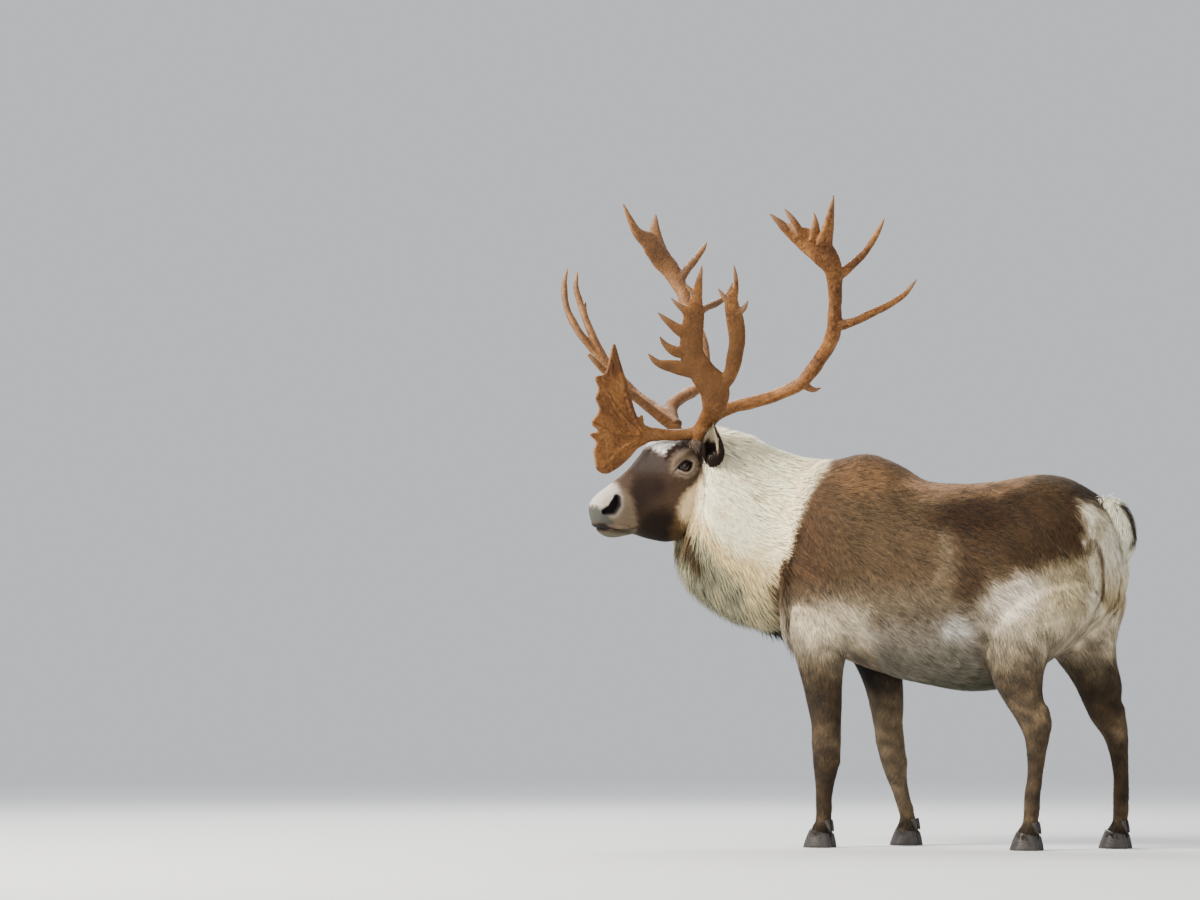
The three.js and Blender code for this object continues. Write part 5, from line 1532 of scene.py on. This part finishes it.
antler = {
    # forward, out, up, how much lower the left one runs, half width, half depth
    "beam": [
        [10, 52, -26, 0, 17, 17], [11, 64, -6, 0, 21, 21], [9, 92, 26, 5, 23, 23], [-3, 124, 60, 2, 23, 23],
        [-24, 148, 84, 4, 22, 22], [-62, 162, 103, 9, 20, 20], [-155, 203, 138, 13, 20, 20],
        [-226, 267, 190, 17, 21, 21], [-258, 320, 268, 20, 22, 21], [-260, 384, 347, 20, 27, 20],
        [-243, 412, 418, 9, 23, 19], [-226, 434, 464, 7, 24, 19], [-200, 456, 525, 0, 32, 18],
        [-158, 464, 568, 0, 41, 15], [-100, 448, 613, 2, 39, 12], [-42, 434, 642, 4, 19, 10],
        [26, 422, 710, 25, 3, 3]],
    "beamFlat": (0.2, -1, 0.35),
    # how much further forward the right beam is, row by row
    "rightAhead": [0, 0, 0, 0, 0, 0, 0, 10, 18, 20, 12, 4, 0, 0, 0, 0, 0],
    "tines": [
        [[-238, 272, 182, 12, 14, 12], [-275, 272, 162, 6, 9, 8], [-306, 272, 168, 4, 3, 3]],
        [[-250, 390, 365, 14, 22, 17], [-300, 440, 386, 14, 15, 13], [-340, 458, 407, 11, 13, 12],
         [-400, 479, 434, 5, 12, 11], [-446, 497, 465, 0, 9, 9], [-478, 513, 512, -2, 3, 3]],
        [[-215, 438, 500, 2, 20, 15], [-262, 460, 542, 1, 15, 13], [-302, 476, 582, -5, 12, 11],
         [-335, 489, 628, -20, 10, 9], [-356, 495, 666, -30, 3, 3]],
        [[-146, 476, 600, 4, 36, 13], [-148, 492, 655, -4, 22, 11], [-154, 503, 735, -18, 3, 3]]],
    "leftTines": [
        [[-118, 465, 610, 0, 26, 11], [-114, 470, 656, 0, 15, 9], [-107, 470, 697, 0, 3, 3]],
        [[-76, 450, 625, 0, 18, 11], [-46, 450, 666, 0, 11, 9], [-12, 445, 703, 0, 3, 3]],
        [[-74, 446, 626, 0, 24, 9], [-52, 444, 645, 0, 17, 6], [-34, 441, 660, 0, 6, 4]]],
    "bezFlat": (0.53, 0.848, -0.65),
    "leftBez": [
        [[8, 74, 20, 0, 22, 22], [18, 140, 62, 0, 32, 22], [38, 190, 100, 0, 40, 18],
         [66, 220, 150, 0, 52, 14],
         [116, 228, 196, 0, 44, 11], [162, 238, 246, 0, 38, 9], [184, 266, 305, 0, 36, 8],
         [200, 298, 365, 0, 32, 8], [214, 328, 422, 0, 18, 8], [241, 390, 514, 0, 3, 3]],
        [[50, 218, 135, 0, 24, 14], [38, 268, 188, 0, 22, 13], [46, 300, 240, 0, 25, 12],
         [64, 336, 300, 0, 27, 10], [92, 362, 356, 0, 28, 9], [122, 382, 410, 0, 22, 8],
         [128, 412, 458, 0, 9, 7], [161, 444, 520, 0, 3, 3]],
        [[104, 366, 370, 0, 15, 9], [84, 390, 388, 0, 10, 7], [80, 412, 416, 0, 3, 3]],
        [[130, 378, 405, 0, 12, 7], [150, 378, 425, 0, 8, 6], [173, 380, 448, 0, 3, 3]],
        [[120, 225, 195, 0, 34, 10], [190, 186, 205, 0, 25, 9], [240, 166, 215, 0, 13, 7],
         [274, 159, 242, 0, 3, 3]],
        [[160, 240, 250, 0, 30, 9], [206, 214, 252, 0, 20, 8], [240, 203, 272, 0, 10, 6],
         [264, 206, 296, 0, 3, 3]],
        [[176, 266, 300, 0, 30, 8], [222, 252, 318, 0, 20, 8], [265, 243, 345, 0, 11, 6],
         [298, 241, 368, 0, 3, 3]],
        [[192, 300, 360, 0, 25, 8], [230, 292, 378, 0, 15, 7], [260, 288, 396, 0, 7, 6],
         [283, 286, 414, 0, 3, 3]],
        [[206, 325, 410, 0, 14, 8], [236, 330, 436, 0, 8, 6], [263, 332, 458, 0, 3, 3]]],
    "rightBez": [
        [[8, 66, 22, 0, 22, 22], [20, 125, 56, 0, 24, 22], [36, 172, 87, -7, 22, 20],
         [64, 221, 130, -16, 22, 17],
         [107, 247, 182, -24, 23, 15], [161, 269, 239, -21, 25, 14], [245, 292, 302, 0, 17, 11],
         [272, 335, 385, 0, 14, 10], [266, 366, 452, 0, 10, 9], [243, 390, 513, 0, 3, 3]],
        [[161, 269, 239, -21, 22, 13], [207, 298, 322, 0, 17, 11], [222, 335, 400, 0, 14, 10],
         [232, 350, 452, 0, 11, 9], [228, 352, 503, 0, 3, 3]],
        [[212, 320, 362, 0, 10, 9], [200, 342, 384, 0, 7, 7], [192, 350, 408, 0, 3, 3]]],
    "rightBrow": [[8, 60, 4, 0, 18, 18], [45, 70, 34, 0, 17, 12], [120, 82, 84, 0, 15, 11],
                  [200, 88, 134, 0, 13, 10], [270, 92, 184, 0, 12, 9], [336, 92, 236, 0, 8, 7]],
    "shovelStem": [[8, 64, 10, 0, 18, 18], [60, 44, -4, 0, 18, 16], [120, 28, -6, 0, 19, 13],
                   [170, 18, -8, 0, 26, 9], [205, 15, -14, 0, 40, 7]],
    "shovelEdge": [
        [165, 16], [182, 24], [192, 53], [205, 44], [228, 84], [258, 155], [285, 212], [315, 270], [326, 222],
        [338, 176], [372, 162], [358, 128], [366, 98], [350, 62], [376, 17], [350, -4], [381, -15],
        [354, -40],
        [364, -66], [358, -96], [350, -126], [320, -137], [280, -120], [240, -90], [196, -48], [165, -32]],
    # ribs from the stem into the shovel's points: forward, up, half thickness
    "shovelRibs": [[[190, 0, 8], [240, 70, 7], [280, 170, 6], [312, 255, 4]],
                   [[200, -4, 8], [270, 50, 6], [330, 120, 5], [364, 156, 4]],
                   [[200, -10, 8], [280, -10, 6], [340, 6, 5], [370, 14, 4]],
                   [[200, -20, 8], [270, -60, 6], [320, -110, 5], [345, -120, 4]]],
    "shovelThickness": 9, "shovelLean": 15, "shovelBow": 0.0002,
    "voxel": 3.0, "least": 4.0,
}


def antlerTube(rows, side, flat):
    # an oval tube through points in the skull's frame, none thinner than the least
    rows = table(rows)
    points = headPoint(rows[:, 0], rows[:, 1] * side, rows[:, 2] - rows[:, 3] * side)
    way = unit(headPoint(flat[0], flat[1] * side, flat[2]) - headPlace)
    half = np.maximum(rows[:, 4], antler["least"])
    depth = np.maximum(rows[:, 5], antler["least"])
    return tubeShell(points, half, depth, way, 22, 9)


def shovelShells():
    # flat plate inside the outline, with ribs that run out into its points
    edge = table(antler["shovelEdge"])
    closed = np.concatenate([edge[-1:], edge, edge[:2]])
    places = np.linspace(1, len(edge) + 1, len(edge) * 6, endpoint=False)
    outline = splinePoints(np.pad(closed, ((0, 0), (0, 1))), places)[:, :2]
    count = len(outline)
    half = antler["shovelThickness"] / 2
    rings = [headPoint(outline[:, 0], antler["shovelLean"] + at * half + 0 * outline[:, 0], outline[:, 1])
             for at in (-1, 1)]
    j = np.arange(count)
    quads = np.stack([j, (j + 1) % count, (j + 1) % count + count, j + count], -1)
    caps = polygonCaps(outline, count)
    plate = (np.concatenate(rings), quads, caps)
    ribs = []
    for rib in antler["shovelRibs"]:
        rib = table(rib)
        points = headPoint(rib[:, 0], antler["shovelLean"] + 0 * rib[:, 0], rib[:, 1])
        ribs.append(tubeShell(points, rib[:, 2] * 0.6, rib[:, 2] * 1.5, leftward, 16, 8))
    return [outward(*plate)] + ribs


def polygonCaps(outline, count):
    # an outline filled with triangles, for the near and the far side of a plate
    flat = [[(x, y, 0.0) for x, y in outline]]
    tris = np.array(tessellate_polygon(flat))
    a, b, c = (outline[tris[:, k]] for k in range(3))
    left = (b[:, 0] - a[:, 0]) * (c[:, 1] - a[:, 1]) - (b[:, 1] - a[:, 1]) * (c[:, 0] - a[:, 0]) > 0
    near = np.where(left[:, None], tris[:, ::-1], tris)
    return np.concatenate([near, near[:, ::-1] + count])


def buildAntler(name, side):
    # tubes fused and smoothed, then lifted by furrows along them, pearls, ripples and a burr
    bez = antler["leftBez"] if side > 0 else antler["rightBez"]
    beam = table(antler["beam"])
    beam[:, 0] += np.array(antler["rightAhead"]) * (side < 0)
    lines = [(beam, antler["beamFlat"])]
    tines = antler["tines"] + (antler["leftTines"] if side > 0 else [])
    lines += [(rows, antler["beamFlat"]) for rows in tines]
    lines += [(rows, antler["bezFlat"]) for rows in bez]
    brow = antler["shovelStem"] if side > 0 else antler["rightBrow"]
    lines.append((brow, (0, 1, 0)))
    parts = [antlerTube(rows, side, flat) for rows, flat in lines]
    if side > 0:
        parts += shovelShells()
    points, quads = fused(parts, antler["voxel"])
    points = relaxed(points, quads, 5, 0.7)
    normals = normalsOf(points, quads)
    spots, ways, tips, thick = [], [], [], []
    for rows, flat in lines:
        rows = table(rows)
        middle = headPoint(rows[:, 0], rows[:, 1] * side, rows[:, 2] - rows[:, 3] * side)
        places = np.linspace(0, len(rows) - 1, len(rows) * 8)
        line = splinePoints(middle, places)
        spots.append(line)
        ways.append(unit(np.gradient(line, axis=0)))
        left = np.linalg.norm(line - line[-1], axis=1)
        tips.append(left if rows[-1, 4] < 9 else left + 200)
        thick.append(np.interp(places, np.arange(len(rows)), np.minimum(rows[:, 4], rows[:, 5])))
    if side > 0:
        for rib in antler["shovelRibs"]:
            rib = table(rib)
            line = splinePoints(headPoint(rib[:, 0], antler["shovelLean"] + 0 * rib[:, 0], rib[:, 1]),
                                np.linspace(0, len(rib) - 1, 30))
            spots.append(line)
            ways.append(unit(np.gradient(line, axis=0)))
            tips.append(np.linalg.norm(line - line[-1], axis=1) + 60)
            thick.append(np.full(30, 6.0))
    spots, ways, tips, thick = (np.concatenate(k) for k in (spots, ways, tips, thick))
    near = nearestOf(points, spots)
    way, toTip, size = ways[near], tips[near], thick[near]
    root = np.linalg.norm(points - headPoint(11, 64 * side, -6), axis=1)
    stretched = points - way * (dot(points, way) * 0.88)[:, None]
    furrow = waves(stretched, 10, 201, 14) * 0.32 + waves(stretched, 6, 202, 14) * 0.1
    pearls = np.maximum(waves(points, 9, 203, 14), 0) * 0.9 * smooth(-root, -120, -40)
    ripple = waves(points, 70, 204) * 0.9
    worn = smooth(toTip, 12, 70)
    lift = (furrow * mix(0.3, 1, worn) + ripple * worn) * np.clip(size / 14, 0.35, 1) + pearls
    burr = np.exp(-((dot(points - headPoint(11, 62 * side, -9), way)) / 4.5) ** 2) * (root < 40)
    lift = lift + burr * (3.2 + 1.4 * waves(points, 8, 205))
    lift = lift - (antler["least"] - 2.2) * smooth(-toTip, -26, -2)
    points = points + normals * lift[:, None]
    if side > 0:
        offset = points - headPlace
        f, out, up = offset @ forward, offset @ leftward, offset @ upward
        blade = smooth(f, 160, 215) * (out < 90)
        points = points + leftward * (blade * antler["shovelBow"] * (up - 20) ** 2)[:, None]
    f, out, up = ((points - headPlace) @ way for way in (forward, leftward, upward))
    palm = smooth(up, 70, 130) * smooth(-up, -430, -300) * smooth(f, 5, 50) * (out > 120)
    low = np.maximum(smooth(-root, -260, -40), 1.3 * palm)
    tone = np.stack([worn * (1 if side > 0 else 0.62), low, 0.5 + 0.5 * np.clip(furrow, -1, 1)], -1)
    piece = furnish("antler_" + name, (points, quads, noTris))
    colourLayer(piece.data, "wear", tone)
    piece.data.materials.append(antlerMaterial)
    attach(piece, "root")
    kinds = ("beam", "crown", "rear_tine_low", "rear_tine_high", "bez", "brow")
    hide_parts(*["antler_%s_%s" % (name, kind) for kind in kinds])
    report("antler %s, %d triangles" % (name, 2 * len(quads)))


def makeAntlerMaterial():
    # polished ridges over stained furrows, paler towards the tips and darker by the burr
    finish = Finish("antler_bone")
    wear = finish.node("ShaderNodeAttribute", {"attribute_name": "wear"})
    apart = finish.tree.nodes.new("ShaderNodeSeparateColor")
    finish.tree.links.new(wear.link, apart.inputs[0])
    worn, low, ridge = (Socket(finish, apart.outputs[k]) for k in range(3))
    spot = finish.node("ShaderNodeTexCoord", output=3)
    blotch = finish.node("ShaderNodeTexNoise", {}, {"Vector": spot, "Scale": 14.0, "Detail": 4.0})
    grain = finish.node("ShaderNodeTexNoise", {}, {"Vector": spot, "Scale": 160.0, "Detail": 5.0,
                                                   "Roughness": 0.65})
    tone = ridge * 0.46 + blotch * 0.72 + grain * 0.12 - 0.16
    stain = finish.node("ShaderNodeValToRGB", {"stops": [
        (0.2, (0.040, 0.014, 0.004, 1)), (0.42, (0.115, 0.043, 0.010, 1)), (0.62, (0.215, 0.088, 0.022, 1)),
        (0.85, (0.34, 0.175, 0.06, 1))]}, {0: tone})
    pale = finish.node("ShaderNodeMix", {"data_type": "RGBA"}, {0: (1 - worn) * 0.5, 6: stain,
                                                               7: (0.27, 0.165, 0.095, 1)}, 2)
    dark = finish.node("ShaderNodeMix", {"data_type": "RGBA"}, {0: low * 0.55, 6: pale,
                                                               7: (0.085, 0.034, 0.006, 1)}, 2)
    height = finish.node("ShaderNodeBump", {}, {"Strength": 0.35, "Distance": 0.002,
                                                "Height": grain + ridge * 0.5})
    return finish.shade(baseColor=dark, roughness=0.66 - ridge * 0.18, normal=height, specular=0.22)


antlerMaterial = makeAntlerMaterial()
buildAntler("left", 1)
buildAntler("right", -1)

hoof = {"coronet": 52, "slope": 0.28, "halfLength": 50, "halfWidth": 21.5, "apart": 22, "topHalfLength": 24,
        "topShift": 12, "dewLength": 34, "dewRadius": 9.5, "dewApart": 16, "dewHeight": 82, "level": 36.0}


def clawShell(limb, hand):
    # ovals that shorten upwards, pinched towards the toe, with growth rings and an eased lower edge
    cx, cy, _, _ = limbPlace(limb, hoof["level"])
    share = np.linspace(0, 1, 34)[:, None]
    turn = np.linspace(0, 2 * math.pi, 48, endpoint=False)[None]
    high = share * 0.74
    length = mix(hoof["halfLength"], hoof["topHalfLength"], high ** 0.8)
    width = hoof["halfWidth"] * (1 - 0.08 * high)
    ease = 1 - 0.035 * np.exp(-share / 0.03) + 0.01 * np.sin(share * 46) * smooth(share, 0.08, 0.3)
    ease = ease * (1 + 0.06 * np.sin(share * math.pi)) * np.sqrt(1 - 0.75 * smooth(share, 0.8, 1) ** 2)
    reach = np.cos(turn) * length * ease
    toe = np.clip(-np.cos(turn), 0, 1)
    inner = np.clip(-hand * np.sin(turn), 0, 1)
    inward = -hand * toe ** 2 * width * 0.5
    aside = np.sin(turn) * width * (1 - 0.5 * toe ** 3) * (1 - 0.3 * inner) * ease + inward
    x = cx - 14 + high * hoof["topShift"] + reach
    top = hoof["coronet"] - hoof["slope"] * (x - cx) + 3
    z = share * top
    return shell(np.stack([x, cy + hand * hoof["apart"] + aside + 0 * x, z + 0 * x], -1))


def dewclawShell(limb, hand):
    # ovals that shrink backwards and down, with fine rings
    cx, cy, _, _ = limbPlace(limb, hoof["level"])
    share = np.linspace(0, 1, 22)[:, None]
    turn = np.linspace(0, 2 * math.pi, 26, endpoint=False)[None]
    radius = hoof["dewRadius"] * np.sqrt(np.clip(1 - share ** 3, 0.02, 1)) * (1 - 0.35 * share)
    ridge = 1 + 0.02 * np.sin(share * 30)
    x = cx + 17 + 12 * share + 0.75 * np.sin(turn) * radius * ridge
    y = cy + hand * (hoof["dewApart"] - 2 * share) + np.cos(turn) * radius * ridge
    z = hoof["dewHeight"] - hoof["dewLength"] * share + 0.43 * np.sin(turn) * radius
    return shell(np.stack([x, y, z], -1))


def makeHornMaterial():
    # black horn with fine rings and dusty patches
    finish = Finish("hoof_horn")
    spot = finish.node("ShaderNodeTexCoord", output=3)
    rings = finish.node("ShaderNodeTexWave", {"bands_direction": "Z"}, {
        "Vector": spot, "Scale": 90.0, "Distortion": 3.0, "Detail": 2.0}, 1)
    dust = finish.node("ShaderNodeTexNoise", {}, {"Vector": spot, "Scale": 60.0, "Detail": 5.0})
    colour = finish.node("ShaderNodeValToRGB", {"stops": [
        (0.25, (0.010, 0.008, 0.007, 1)), (0.6, (0.035, 0.027, 0.021, 1)), (0.9, (0.12, 0.095, 0.07, 1))]},
        {0: dust * 0.8 + rings * 0.12})
    height = finish.node("ShaderNodeBump", {}, {"Strength": 0.4, "Distance": 0.001, "Height": rings + dust})
    return finish.shade(baseColor=colour, roughness=dust * 0.35 + 0.3, normal=height, specular=0.5)


hornMaterial = makeHornMaterial()
for limb in limbs:
    claws = joined([clawShell(limb, hand) for hand in (1, -1)])
    dews = joined([dewclawShell(limb, hand) for hand in (1, -1)])
    for kind, several, surface in (("hoof", "hooves", claws), ("dewclaw", "dewclaws", dews)):
        piece = furnish("%s_%s" % (several, limb["name"]), surface)
        piece.data.materials.append(hornMaterial)
        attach(piece, "root")
        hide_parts(*["%s_%s_%s" % (kind, limb["name"], where) for where in ("outer", "inner")])


def makeEyeMaterial():
    # dark brown iris and level pupil under a clear wet layer
    finish = Finish("eye_wet")
    colour = finish.node("ShaderNodeAttribute", {"attribute_name": "markings"})
    return finish.shade(baseColor=colour, roughness=0.16, specular=0.2, coatWeight=0.22, coatRoughness=0.03)


eyeMaterial = makeEyeMaterial()
for name, side in (("left", 1), ("right", -1)):
    centre = facePoint(eye["along"], eye["out"] * side, eye["up"])
    v, u = np.meshgrid(np.linspace(0.01, math.pi - 0.01, 60),
                       np.linspace(0, 2 * math.pi, 80, endpoint=False), indexing="ij")
    sideways, ahead, rise = np.cos(v), np.sin(v) * np.cos(u), np.sin(v) * np.sin(u)
    bulge = 0.3 * np.exp(-(np.sin(v) / 0.5) ** 2) * (np.cos(v) > 0)
    radius = eye["radius"] - 0.2 + bulge
    ways = (leftward * side, faceAlong, faceUp)
    parts = zip((sideways, ahead, rise), ways)
    points = centre + sum((radius * part)[..., None] * way for part, way in parts)
    surface = shell(points)
    offset = surface[0] - centre
    along, high, out = offset @ faceAlong, offset @ faceUp, offset @ (leftward * side)
    gap = np.hypot(along, high)
    pupil = smooth(-np.hypot(along / 8.5, high / 4.5), -1.15, -0.85)
    iris = smooth(-gap, -14.5, -13)
    colour = np.broadcast_to(tones["eyeball"], surface[0].shape)
    colour = paint(colour, "iris", iris)
    colour = paint(colour, "pupil", np.maximum(pupil, smooth(gap, 11.5, 13.5) * iris * 0.7))
    piece = furnish("eyeball_" + name, surface, colour)
    piece.data.materials.append(eyeMaterial)
    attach(piece, "root")
    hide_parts("eye_" + name)
report("hooves and eyes")


def lashes():
    # short curved hairs along the upper lid
    roots, ways = [], []
    for side in (1, -1):
        phi = np.linspace(0.5, 2.5, 24)
        s0, t0 = almond(phi)
        reach = np.hypot(s0, t0)
        out = np.sqrt((eye["radius"] + 0.2) ** 2 - (reach * 0.9) ** 2) + 2.4
        roots.append(facePoint(eye["along"] + s0 * 1.05, (eye["out"] + out) * side, eye["up"] + t0 * 1.05))
        fan = (phi - 1.5) * 0.35
        ways.append(leftward * side * 1.0 - faceUp * 0.45 + faceAlong * fan[:, None])
    roots, ways = np.concatenate(roots), np.concatenate(ways)
    up = unit(np.broadcast_to(faceUp, roots.shape) - ways * dot(faceUp, unit(ways))[:, None] * 0.5)
    look = {"length": 8.0, "width": 0.35, "lift": 1.5, "sink": 0.6, "tip": 0.6, "stray": 0.2, "curl": 0.1,
            "thick": 0.8, "stations": 2, "softness": 0.2, "rootShade": 1.0, "tipShade": 1.0, "uneven": 0.02}
    colours = np.broadcast_to(tones["lidRim"], roots.shape)
    tufts("eyelashes", tuftMaterial, roots, up, ways, look, colours,
          rootPlaces(roots, np.full(len(roots), "head", object)), 151)


lashes()

# Floor, light and camera
lighting = {
    # place, what it points at, size, power, colour
    "key": ((-3.6, -5.4, 5.4), (0.0, 0.0, 1.0), 3.6, 2000, (1.0, 0.965, 0.91)),
    "fill": ((5.5, -5.5, 2.4), (0.0, 0.0, 0.9), 4.5, 190, (0.95, 0.97, 1.0)),
    "rim": ((-2.2, 3.0, 5.6), (0.0, 0.0, 1.1), 4.0, 640, (0.97, 0.98, 1.0)),
    "world": (0.84, 0.87, 0.92, 0.78),
}

stageFloor = {"half": 60000.0, "low": -60.0, "top": -0.5}

scene = bpy.context.scene
square = stageFloor["half"] * np.array([[-1, -1], [1, -1], [1, 1], [-1, 1]])
levels = [np.column_stack([square, np.full(4, stageFloor[key])]) for key in ("low", "top")]
floorMesh = bareMesh("floor", shell(np.array(levels)), np.zeros(3))
floor = bpy.data.objects.new("floor", floorMesh)
scene.collection.objects.link(floor)
floorFinish = Finish("studio_floor")
# grey near the animal, and the world's own light further out, so that no horizon shows
apart = floorFinish.node("ShaderNodeVectorMath", {"operation": "LENGTH"},
                         {0: floorFinish.node("ShaderNodeTexCoord", output=3)}, 1)
even = {"interpolation_type": "SMOOTHSTEP"}
fade = floorFinish.node("ShaderNodeMapRange", even, {0: apart, 1: 3.0, 2: 13.0})
rise = floorFinish.node("ShaderNodeMapRange", even, {0: apart, 1: 1.5, 2: 11.0})
glow = tuple(k * lighting["world"][3] for k in lighting["world"][:3])
black = (0, 0, 0, 1)
grey = (0.5, 0.5, 0.49, 1)
nearGrey = floorFinish.node("ShaderNodeMix", {"data_type": "RGBA"}, {0: fade, 6: grey, 7: black}, 2)
farLight = floorFinish.node("ShaderNodeMix", {"data_type": "RGBA"}, {0: rise, 6: black, 7: (*glow, 1)}, 2)
floor.data.materials.append(floorFinish.shade(baseColor=nearGrey, roughness=0.9, specular=0.0,
                                              emission=farLight, emissionStrength=1.0))


def aimed(thing, place, target):
    # puts a thing in its place and turns it to look at its target
    thing.location = place
    way = Vector(target) - Vector(place)
    thing.rotation_euler = way.to_track_quat("-Z", "Y").to_euler()


for name in ("key", "fill", "rim"):
    place, target, size, power, colour = lighting[name]
    lamp = bpy.data.lights.new(name, "AREA")
    lamp.shape, lamp.size, lamp.energy, lamp.color = "DISK", size, power, colour
    lampObject = bpy.data.objects.new(name, lamp)
    scene.collection.objects.link(lampObject)
    aimed(lampObject, place, target)

world = bpy.data.worlds.new("studio")
world.use_nodes = True
background = world.node_tree.nodes["Background"]
background.inputs[0].default_value = (*lighting["world"][:3], 1)
background.inputs[1].default_value = lighting["world"][3]
scene.world = world

view = {"place": (4.09238, -11.33223, 0.40), "tilt": 93.9285, "turn": 25.0, "lens": 116.64}
lens = bpy.data.cameras.new("camera")
lens.lens, lens.sensor_width, lens.clip_end = view["lens"], 36.0, 100.0
camera = bpy.data.objects.new("camera", lens)
scene.collection.objects.link(camera)
camera.location = np.array(view["place"]) + origin
camera.rotation_euler = (math.radians(view["tilt"]), 0, math.radians(view["turn"]))
scene.camera = camera

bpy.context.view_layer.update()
report("done")
